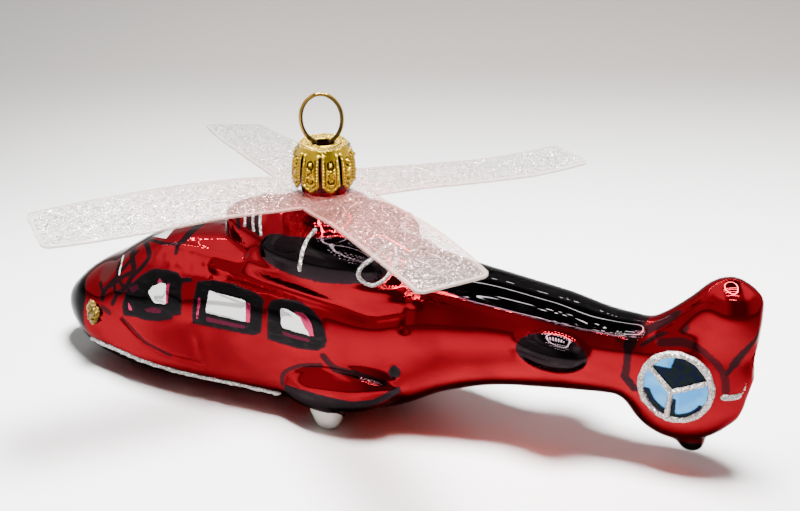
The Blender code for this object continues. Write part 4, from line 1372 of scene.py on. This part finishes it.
class ORNAMENT_OT_nose_lamps(bpy.types.Operator):
    """Set the blob of gold glitter on each side of the nose"""

    bl_idname = "ornament.nose_lamps"
    bl_label = "Nose lamps"

    def execute(self, context):
        look = settings("ornament_glitter")
        flakes = (look.gold, GOLD_SPARK, look.gold_grain)
        material = glitter_glue("gold_glitter_glue", *flakes, spread=1.3, metal=1.0, coat=0.06)
        low, high = (np.array(corner) / MM - NECK_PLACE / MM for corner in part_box("nose_lamp_starboard"))
        middle, half = (low + high) / 2, (high - low) / 2
        radius = np.linspace(0.04, 1, BLOB_ROWS)[:, None]
        angle = (np.arange(BLOB_COLUMNS) * 2 * math.pi / BLOB_COLUMNS)[None, :]
        wobble = 1 + 0.07 * np.sin(3 * angle + 0.6) + 0.05 * np.sin(7 * angle) + 0.05 * np.sin(11 * angle + 2)
        x = middle[0] + half[0] * radius * wobble * np.cos(angle)
        z = middle[2] + half[2] * radius * wobble * np.sin(angle)
        seat = side_of_glass(x, z)
        dome = BLOB_RISE * np.sqrt(np.maximum(1 - radius**2, 0)) + 0 * angle
        face = np.stack([x, seat + dome, z], -1).reshape(-1, 3)
        grain = ripple(face, 0.95, 61) * 0.12 + ripple(face, 0.6, 62) * 0.09
        face[:, 1] += grain * np.sqrt(np.maximum(dome.ravel() / BLOB_RISE, 0))
        back = np.stack([x, seat - BLOB_SINK, z], -1).reshape(-1, 3)
        poles = [face[:BLOB_COLUMNS].mean(axis=0), back[:BLOB_COLUMNS].mean(axis=0)]
        count = len(face)
        faces = grid_faces(BLOB_ROWS, BLOB_COLUMNS, closed_columns=True)
        outer = np.arange(count - BLOB_COLUMNS, count)
        after = np.roll(outer, -1)
        wall = np.stack([outer, after, after + count, outer + count], -1)
        front = fan_faces(0, BLOB_COLUMNS, 2 * count, outward=True)
        behind = fan_faces(count, BLOB_COLUMNS, 2 * count + 1, outward=False)
        blob = (np.concatenate([face, back, poles]), [faces, faces[:, ::-1] + count, wall, front, behind])
        add_pair("nose_glitter", blob, material, "nose_lamp")
        return {"FINISHED"}


def blade_outline(along):
    """Reach and both edges of a blade at each share of its length, with rounded tip corners."""
    x = HUB_HALF_WIDTH + (BLADE_TIP - HUB_HALF_WIDTH) * along
    lead = HUB_HALF_WIDTH + (BLADE_TIP_LEAD - HUB_HALF_WIDTH) * along
    lead = lead + BLADE_LEAD_BOW * np.sin(math.pi * along)
    trail = -HUB_HALF_WIDTH + (BLADE_TIP_TRAIL + HUB_HALF_WIDTH) * along
    into_corner = np.clip((x - (BLADE_TIP - BLADE_CORNER)) / BLADE_CORNER, 0, 1)
    tuck = BLADE_CORNER * (1 - np.sqrt(1 - into_corner**2))
    return x, lead - tuck, trail + tuck


def blade_height(along, y, bend):
    """Height over the hub's plane: y times a twist that grows outward, less a drop that does too."""
    square_drop, cube_drop, twist, twist_square = bend
    drop = square_drop * along**2 + cube_drop * along**3
    return y * (twist * along + twist_square * along**2) - drop


def hub_sag(x, y):
    """Dip of the sheet under the cap: the deeper of a bell stretched along the camera's right and
    of a flatter one all round, exp(-(distance / radius)^4)."""
    sideways, depth = rotated(x, y, -CAMERA_TURN)
    sideways, depth = sideways - SAG_CENTRE[0], depth - SAG_CENTRE[1]
    nearer = np.exp(-((sideways / SAG_HALVES[0]) ** 2) - (depth / SAG_HALVES[1]) ** 2)
    all_round = SAG_SHARE_ALL_ROUND * np.exp(-((np.hypot(x, y) / SAG_ALL_ROUND) ** 4))
    return SAG_DEPTH * np.maximum(nearer, all_round)


class ORNAMENT_OT_rotor(bpy.types.Operator):
    """Cut the rotor out of white glitter sheet and bend its blades"""

    bl_idname = "ornament.rotor"
    bl_label = "Rotor sheet"

    def execute(self, context):
        look = settings("ornament_rotor")
        across = np.linspace(-1, 1, look.strips + 1)
        straight = 1 - BLADE_CORNER / (BLADE_TIP - HUB_HALF_WIDTH)
        into_tip = np.sin(np.radians(np.linspace(0, 90, 13)[1:]))
        along = np.append(np.linspace(0, straight, look.steps), straight + (1 - straight) * into_tip)[:, None]
        x, lead, trail = blade_outline(along)
        y = (lead + trail) / 2 + (lead - trail) / 2 * across
        x = x + 0 * y
        blade_rim = np.minimum(np.minimum(lead - y, y - trail), BLADE_TIP - x)
        shares = np.linspace(0, 1, 13)[:-1][:, None, None]
        sweep = np.radians(45) * across
        hole = np.stack([np.cos(sweep), np.sin(sweep)], -1) * ROTOR_HOLE_RADIUS
        side = np.stack([np.full_like(across, HUB_HALF_WIDTH), across * HUB_HALF_WIDTH], -1)
        hub = hole * (1 - shares) + side * shares
        hub_rim = np.hypot(hub[..., 0], hub[..., 1]) - ROTOR_HOLE_RADIUS
        quarter = np.concatenate([hub, np.stack([x, y], -1)])
        rim = np.concatenate([hub_rim, blade_rim])
        quads = grid_faces(*quarter.shape[:2])
        points, faces = [], []
        for number, bend in enumerate(BLADE_BENDS):
            turned_x, turned_y = rotated(quarter[..., 0], quarter[..., 1], ROTOR_HEADING + 90 * number)
            height = np.concatenate([np.zeros(hub.shape[:2]), blade_height(along, y, bend)])
            height = height + ROTOR_Z + ROTOR_SLOPE_X * turned_x + ROTOR_SLOPE_Y * turned_y
            height = height - hub_sag(turned_x, turned_y)
            flat = np.stack([turned_x, turned_y, 0 * turned_x], -1).reshape(-1, 3)
            height = height + 0.05 * ripple(flat, 16.0, 31).reshape(height.shape)
            points.append(np.stack([turned_x, turned_y, height], -1).reshape(-1, 3))
            faces.append(quads + number * len(points[0]))
        mesh = mesh_from_arrays("rotor_blades", np.concatenate(points), [np.concatenate(faces)])
        add_values(mesh, "rim_distance", np.tile(rim.ravel(), len(BLADE_BENDS)))
        # Painted red glow, fixed to the sheet and strongest beside the hub over the glass
        from_glow = np.concatenate(points)[:, :2] - PAINTED_GLOW_CENTRE
        add_values(mesh, "painted_glass_glow", bell(np.hypot(*from_glow.T), PAINTED_GLOW_RADIUS))
        piece = add_piece(mesh, glitter_sheet(), "rotor_sheet", ["rotor"])
        thickened(piece, ROTOR_WELD, "Sheet", 0.9 * ROTOR_THICKNESS, offset=1)
        return {"FINISHED"}


def dots(first, second, pitch, radius):
    """Rounded bumps of height 1 and a given radius on a line of even pitch along first, at second 0."""
    nearest = np.abs((first / pitch + 0.5) % 1 - 0.5) * pitch
    return bell(np.hypot(nearest, second), radius)


def cap_relief(angle, radius, run, height, petal_side, half_petal, edge_depth):
    """Stamped relief of the cap, in millimetres out of its face, from the hole to the points.

    run is the way down the outline, petal_side the way across from a petal's middle, half_petal
    its half width there and edge_depth the way in from its cut edge.
    """

    def dot_ring(reach, count, dot_radius):
        return dots(angle * reach, radius - reach, 2 * math.pi * reach / count, dot_radius)

    vines = 0.12 * np.sin(angle * 34 + 2.2 * np.sin((radius - 3.3) * 5.5))
    vines = vines * bell(radius - CAP_VINE_RADIUS, 0.3)
    disc = vines - 0.42 * dot_ring(*CAP_RIM_DOTS) - 0.3 * dot_ring(*CAP_HOLE_DOTS)
    bead_in, bead_height = CAP_SHOULDER_BEAD
    corner = np.hypot(np.abs(petal_side) - half_petal + bead_in, height - bead_height)
    shoulder = 0.05 * bell(run - CAP_SHOULDER_ROLL, 0.16) + 0.34 * bell(corner, 0.27)
    border = 0.28 * dots(height, edge_depth - CAP_BORDER_BEADS_IN, 0.6, 0.24)
    border = border - 0.14 * bell(edge_depth - CAP_BORDER_LINE_IN, 0.12)
    field = 0.05 * soft_step(edge_depth - CAP_FIELD_IN, 0.08)
    boss_reach = np.hypot(petal_side, (height - CAP_BOSS_HEIGHT) * 0.8)
    boss = 0.42 * bell(boss_reach, 0.3) - 0.3 * bell(boss_reach - 0.62, 0.15)
    ring_reach = np.hypot(petal_side, height - CAP_RING_HEIGHT)
    ring = 0.24 * bell(ring_reach, 0.3)
    ring = ring - 0.3 * bell(ring_reach - 0.6, 0.16) * (height < CAP_RING_HEIGHT + 0.3)
    above = height - CAP_SWIRL_HEIGHT
    swirl = -0.24 * bell(petal_side - 0.42 * np.sin(above * 4.2), 0.15) * (np.abs(above) < 0.75)
    leaf = 0.2 * dots(above, np.abs(petal_side) - 0.62, 0.5, 0.2) * (np.abs(above) < 0.8)
    petal = border + field + boss + ring + swirl + leaf
    on_disc, on_skirt = soft_step(CAP_DISC_END - run, 0.05), soft_step(CAP_SKIRT_STARTS - height, 0.08)
    return disc * on_disc + shoulder + petal * on_skirt


class ORNAMENT_OT_cap(bpy.types.Operator):
    """Stamp the gold cap with its petals, slots and beaded borders"""

    bl_idname = "ornament.cap"
    bl_label = "Cap"

    def execute(self, context):
        look = settings("ornament_cap")
        outline = smooth_path([(r, 0, z) for r, z in CAP_OUTLINE], 0.02)[:, [0, 2]]
        lengths = run_lengths(outline)
        pitch = 2 * math.pi / CAP_PETALS
        across = np.linspace(-1, 1, look.columns + 1)[None, :]
        run_share = np.linspace(0, 1, look.rows + 1)[:, None]
        skirt_starts = lengths[np.argmax(outline[:, 1] < CAP_SLOT_TOP + 0.6)]
        point_lift = CAP_POINT_HEIGHT * np.abs(across) ** 1.15
        run_end = lengths[-1] - point_lift
        run = np.where(run_share * lengths[-1] < skirt_starts, run_share * lengths[-1], 0)
        below = (run_share * lengths[-1] - skirt_starts) / (lengths[-1] - skirt_starts)
        run = np.where(below > 0, skirt_starts + below * (run_end - skirt_starts), run + 0 * across)
        radius = np.interp(run, lengths, outline[:, 0])
        height = np.interp(run, lengths, outline[:, 1])
        into_slot = np.clip((CAP_SLOT_TOP - height) / (2 * CAP_SLOT_HALF_WIDTH), 0, 1)
        gap = CAP_SLOT_HALF_WIDTH * np.sqrt(1 - (1 - into_slot) ** 2)
        half_petal = pitch / 2 * CAP_SKIRT_RADIUS
        petal_side = across * (half_petal - gap)
        angle_in = petal_side / CAP_SKIRT_RADIUS
        edge_depth = (1 - np.abs(across)) * half_petal
        from_point = (run_end - run) * 0.82
        near_point = run > lengths[-1] - 2.6
        edge_depth = np.where(near_point, np.minimum(edge_depth, from_point), edge_depth)
        slope_r = np.interp(run, lengths, np.gradient(outline[:, 0], lengths))
        slope_z = np.interp(run, lengths, np.gradient(outline[:, 1], lengths))
        points, relief_values = [], []
        for number in range(CAP_PETALS):
            middle = math.radians(CAP_SLOT_HEADING) + (number + 0.5) * pitch
            angle = middle + angle_in
            relief = cap_relief(angle, radius, run, height, petal_side, half_petal, edge_depth) - 0.2
            out_r = radius - relief * slope_z
            out_z = height + relief * slope_r
            points.append(np.stack([out_r * np.cos(angle), out_r * np.sin(angle), out_z], -1).reshape(-1, 3))
            relief_values.append(np.maximum(-0.2 - relief, 0).ravel())
        quads = grid_faces(*radius.shape)
        faces = np.concatenate([quads + number * radius.size for number in range(CAP_PETALS)])[:, ::-1]
        mesh = mesh_from_arrays("cap_crown", np.concatenate(points), [faces])
        add_values(mesh, "dark_hollows_and_painted_streak", np.concatenate(relief_values))
        metal = stamped_gold("gold_cap_metal", look.gold, 0.16, 0.4)
        piece = add_piece(mesh, metal, "cap_crown", ["cap"])
        thickened(piece, CAP_WELD, "Metal", CAP_WALL, offset=-1)
        return {"FINISHED"}


class ORNAMENT_OT_wire_loop(bpy.types.Operator):
    """Bend the spring wire loop that hangs in the cap"""

    bl_idname = "ornament.wire_loop"
    bl_label = "Wire loop"

    def execute(self, context):
        look = settings("ornament_cap")
        start = -math.acos(LEG_TOP_OFFSET / LOOP_HALF_WIDTH)
        angle = np.linspace(start, math.pi - start, 60)
        arc_height = LOOP_CENTRE_Z + LOOP_HALF_HEIGHT * np.sin(angle)
        arc = np.stack([LOOP_HALF_WIDTH * np.cos(angle), arc_height], -1)
        legs = np.array([LEG_FOOT, LEG_KNEE])
        route = np.concatenate([legs, arc, legs[::-1] * (-1, 1)])
        lean = LOOP_LEAN * np.maximum(route[:, 1] - 53.5, 0)
        heading = math.radians(WIRE_HEADING)
        side = route[:, 0] + lean
        corners = np.stack([side * math.cos(heading), side * math.sin(heading), route[:, 1]], -1)
        path = smooth_path(corners, 0.2)
        tangents = np.gradient(path, axis=0)
        tangents /= np.linalg.norm(tangents, axis=1, keepdims=True)
        flat_normal = np.array([-math.sin(heading), math.cos(heading), 0])
        inward = np.cross(tangents, flat_normal)
        turn = (np.arange(WIRE_SIDES) * 2 * math.pi / WIRE_SIDES)[None, :, None]
        ring = path[:, None] + WIRE_RADIUS * (np.cos(turn) * flat_normal + np.sin(turn) * inward[:, None])
        points = np.concatenate([ring.reshape(-1, 3), path[:1], path[-1:]])
        mesh = mesh_from_arrays("wire_loop", points, tube_faces(len(path), WIRE_SIDES))
        # Painted dark reflection: a streak along one side of the wire
        streak = np.cos(turn[0, :, 0] - WIRE_DARK_REFLECTION_TURN)[None, :] + 0.35 * ripple(path, 9.0, 55)[:, None]
        add_values(mesh, "dark_hollows_and_painted_streak", np.append(np.clip(streak - 0.1, 0, 1).ravel() * 0.6, [0, 0]))
        metal = stamped_gold("gold_wire", look.wire_gold, 0.12, 0.35)
        add_piece(mesh, metal, "hanger", ["hanger_wire"])
        return {"FINISHED"}


def camera_axes():
    """The camera's right, its level line ahead and its up and ahead directions."""
    turn, pitch = math.radians(CAMERA_TURN), math.radians(CAMERA_PITCH)
    right = np.array([math.cos(turn), math.sin(turn), 0])
    level = np.array([-math.sin(turn), math.cos(turn), 0])
    ahead = math.cos(pitch) * level - math.sin(pitch) * np.array([0, 0, 1])
    up = math.sin(pitch) * level + math.cos(pitch) * np.array([0, 0, 1])
    return right, level, up, ahead


def stage_floor(look, right, level):
    """Wide pale floor with painted shade: greyer far behind, in front, at the near right and at the far left.

    Far off on the camera's side it has a faint painted glow, which only the mirror shows.
    """
    half = look.floor_size / MM
    corners = np.array([(-half, -half, 0), (half, -half, 0), (half, half, 0), (-half, half, 0)])
    mesh = mesh_from_arrays("studio_floor", corners, [np.array([[0, 1, 2, 3]])])
    material, tree, shader = shader_nodes("pale_floor")
    place = object_millimetres(tree)
    depth = vector_maths(tree, "DOT_PRODUCT", place, level)
    beside = vector_maths(tree, "DOT_PRODUCT", place, right)
    colour = blend_colours(tree, band(tree, depth, *FLOOR_NEAR_SPAN), look.floor_near_shade, look.floor_middle)
    colour = blend_colours(tree, band(tree, depth, *FLOOR_FAR_SPAN), colour, look.floor_far_shade)
    # Painted shade at the near right and at the far left of the floor
    edges = [
        times(tree, band(tree, beside, *across), band(tree, depth, *along))
        for across, along in (FLOOR_NEAR_RIGHT_SPANS, FLOOR_FAR_LEFT_SPANS)
    ]
    edges = times(tree, maths(tree, "MAXIMUM", *edges), FLOOR_CORNER_SHADE_SHARE)
    surface = {
        "Base Color": blend_colours(tree, edges, colour, look.floor_near_shade),
        # Painted glow far off on the camera's side, which only the mirror shows
        "Emission Color": FLOOR_GLOW_COLOUR,
        "Emission Strength": band(tree, depth, *FLOOR_GLOW_SPAN, 0.0, FLOOR_GLOW),
        "Roughness": 0.5,
        "Specular IOR Level": 0.2,
    }
    set_inputs(tree, shader, surface)
    add_object("studio_floor", mesh, material)


def area_light(name, place, target, size, watts, colour):
    """Soft light of a given width and height in metres, turned towards a target, unseen in the mirror."""
    light = bpy.data.lights.new(name, "AREA")
    light.shape = "RECTANGLE"
    light.size, light.size_y = size
    light.energy = watts
    light.color = colour
    lamp = add_object(name, light)
    back = np.array(place) - np.array(target)
    back = back / np.linalg.norm(back)
    side = np.cross((0, 1, 0), back)
    side = side / np.linalg.norm(side)
    place_on_axes(lamp, side, np.cross(back, side), back, place)
    lamp.visible_glossy = False
    lamp.visible_camera = False


def glowing_mesh(name, points, faces, strength):
    """Bright shape overhead that only reflections show."""
    mesh = mesh_from_arrays(name, points, [faces])
    material = bpy.data.materials.new(name)
    material.use_nodes = True
    tree = material.node_tree
    tree.nodes.clear()
    emission = tree.nodes.new("ShaderNodeEmission")
    emission.inputs["Strength"].default_value = strength
    output = tree.nodes.new("ShaderNodeOutputMaterial")
    tree.links.new(emission.outputs[0], output.inputs["Surface"])
    glow = add_object(name, mesh, material)
    glow.visible_camera = False
    glow.visible_diffuse = False
    glow.visible_shadow = False


def overhead_lamps(right, level):
    """Ring light overhead and rows of small lamps beside it, which the glass mirrors as lines and dots."""
    up = np.array([0, 0, 1])
    turn = np.linspace(0, 2 * math.pi, 96, endpoint=False)
    rim = np.array(LAMP_RING_HALVES)
    edges = []
    for grow in (0, LAMP_RING_WIDTH):
        across, deep = rim + grow
        edges.append(across * np.cos(turn)[:, None] * right + deep * np.sin(turn)[:, None] * level)
    centre = LAMP_CENTRE_RIGHT * right + LAMP_HEIGHT * up
    faces = grid_faces(2, 96, closed_columns=True)
    glowing_mesh("ring_lamp", np.concatenate(edges) + centre, faces, LAMP_RING_STRENGTH)
    corners = np.array([(-1, -1), (-1, 1), (1, 1), (1, -1)]) * (LAMP_DOT_ACROSS, LAMP_DOT_DEEP)
    dots_in_view = corners[:, :1] * right + corners[:, 1:] * level
    places = []
    for depth, first, last in LAMP_ROWS:
        step = np.arange(first, last, LAMP_PITCH)
        places.append(step[:, None] * right + depth * level + LAMP_HEIGHT * up)
    places = np.concatenate(places)[:, None] + dots_in_view[None]
    faces = np.arange(4 * len(places)).reshape(-1, 4)
    glowing_mesh("lamp_rows", places.reshape(-1, 3), faces, LAMP_DOT_STRENGTH)


def surroundings(right, level):
    """Room that only reflections show: pale walls with bright panels, a dark ceiling and a dim
    opening on the camera's side, each a product of smooth steps along the room's three axes."""
    world = bpy.data.worlds.new("studio_box")
    bpy.context.scene.world = world
    world.use_nodes = True
    tree = world.node_tree
    background = tree.nodes["Background"]
    coordinates = tree.nodes.new("ShaderNodeTexCoord")
    direction = coordinates.outputs["Generated"]
    sideways, depth, height = (
        vector_maths(tree, "DOT_PRODUCT", direction, axis) for axis in (right, level, (0, 0, 1))
    )
    walls = band(tree, depth, -0.4, 0.5, *WALL_STRENGTHS)
    behind = times(tree, band(tree, height, 0.35, 0.6), band(tree, sideways, -0.02, -0.24))
    behind = times(tree, behind, band(tree, depth, 0.0, 0.3))
    across = maths(tree, "ABSOLUTE", sideways)
    panels = times(tree, band(tree, across, 0.42, 0.56), band(tree, height, 0.5, 0.66))
    bright = maths(tree, "MAXIMUM", behind, panels)
    light = mix(tree, "FLOAT", bright, walls, PANEL_STRENGTH)
    near = band(tree, depth, -0.2, -0.6)
    middle = band(tree, maths(tree, "ABSOLUTE", maths(tree, "SUBTRACT", sideways, 0.18)), 0.74, 0.3)
    low = band(tree, height, 0.84, 0.6)
    opening = times(tree, times(tree, near, middle), low)
    shut = maths(tree, "MULTIPLY_ADD", opening, -OPENING_DIMS, 1.0)
    above = band(tree, height, 0.84, 0.94)
    ahead_above = times(tree, band(tree, height, 0.58, 0.68), band(tree, sideways, -0.2, -0.04))
    far_end = times(tree, band(tree, depth, -0.1, 0.1), band(tree, sideways, 0.5, 0.4))
    ahead_above = times(tree, ahead_above, far_end)
    hole = maths(tree, "MULTIPLY_ADD", maths(tree, "MAXIMUM", above, ahead_above), -CEILING_DIMS, 1.0)
    strength = times(tree, times(tree, light, shut), hole)
    set_inputs(tree, background, {"Strength": strength, "Color": ROOM_COLOUR})
    world.cycles_visibility.diffuse = False


class ORNAMENT_OT_stage(bpy.types.Operator):
    """Set the floor, the lights, the room and the camera"""

    bl_idname = "ornament.stage"
    bl_label = "Stage and camera"

    def execute(self, context):
        look = settings("ornament_stage")
        right, level, up, ahead = camera_axes()
        stage_floor(look, right, level)
        surroundings(right, level)
        overhead_lamps(right, level)
        axes = np.array([right, level, (0, 0, 1)])
        aim = NECK_PLACE + KEY_AIM @ axes[:2] * MM
        area_light("key_light", NECK_PLACE + KEY_PLACE @ axes * MM, aim, KEY_SIZE, look.key_watts, (1, 1, 1))
        beside = NECK_PLACE + BOUNCE_PLACE @ axes * MM
        below = beside + (BOUNCE_LEAN * level - np.array([0, 0, 1])) * MM
        area_light("bounce_light", beside, below, BOUNCE_SIZE, look.bounce_watts, BOUNCE_COLOUR)
        over = NECK_PLACE + SHEET_GLOW_PLACE @ axes * MM
        under = over - np.array([0, 0, MM])
        area_light("sheet_glow", over, under, SHEET_GLOW_SIZE, look.sheet_glow_watts, BOUNCE_COLOUR)
        hub = NECK_PLACE + np.array([0, 0, ROTOR_Z * MM])
        eye = hub + (CAMERA_RIGHT * right - CAMERA_DOWN * up - CAMERA_BACK * ahead) * MM
        data = bpy.data.cameras.new("photo_camera")
        data.lens = CAMERA_LENS
        data.sensor_width = CAMERA_SENSOR
        data.clip_start = CAMERA_NEAREST
        camera = add_object("photo_camera", data)
        place_on_axes(camera, right, up, -ahead, eye)
        bpy.context.scene.camera = camera
        return {"FINISHED"}


OPERATORS = (
    ORNAMENT_OT_glass,
    ORNAMENT_OT_glitter_lines,
    ORNAMENT_OT_fan_rims,
    ORNAMENT_OT_nose_lamps,
    ORNAMENT_OT_rotor,
    ORNAMENT_OT_cap,
    ORNAMENT_OT_wire_loop,
    ORNAMENT_OT_stage,
)
GROUPS = {
    "ornament_glass": OrnamentGlass,
    "ornament_glitter": OrnamentGlitter,
    "ornament_rotor": OrnamentRotor,
    "ornament_cap": OrnamentCap,
    "ornament_stage": OrnamentStage,
}


class ORNAMENT_PT_build(bpy.types.Panel):
    bl_label = "Ornament"
    bl_idname = "ORNAMENT_PT_build"
    bl_space_type = "VIEW_3D"
    bl_region_type = "UI"
    bl_category = "Ornament"

    def draw(self, context):
        for operator in OPERATORS:
            self.layout.operator(operator.bl_idname)


def register():
    """Make the operators, the panel and each group of settings known."""
    for kind in (*GROUPS.values(), *OPERATORS, ORNAMENT_PT_build):
        bpy.utils.register_class(kind)
    for name, group in GROUPS.items():
        setattr(bpy.types.Scene, name, PointerProperty(type=group))


def unregister():
    """Take back what register made known."""
    for name in GROUPS:
        delattr(bpy.types.Scene, name)
    for kind in (ORNAMENT_PT_build, *reversed(OPERATORS), *reversed(GROUPS.values())):
        bpy.utils.unregister_class(kind)


def main():
    """Run every operator."""
    register()
    for operator in OPERATORS:
        group, name = operator.bl_idname.split(".")
        getattr(getattr(bpy.ops, group), name)()


if __name__ == "__main__":
    main()
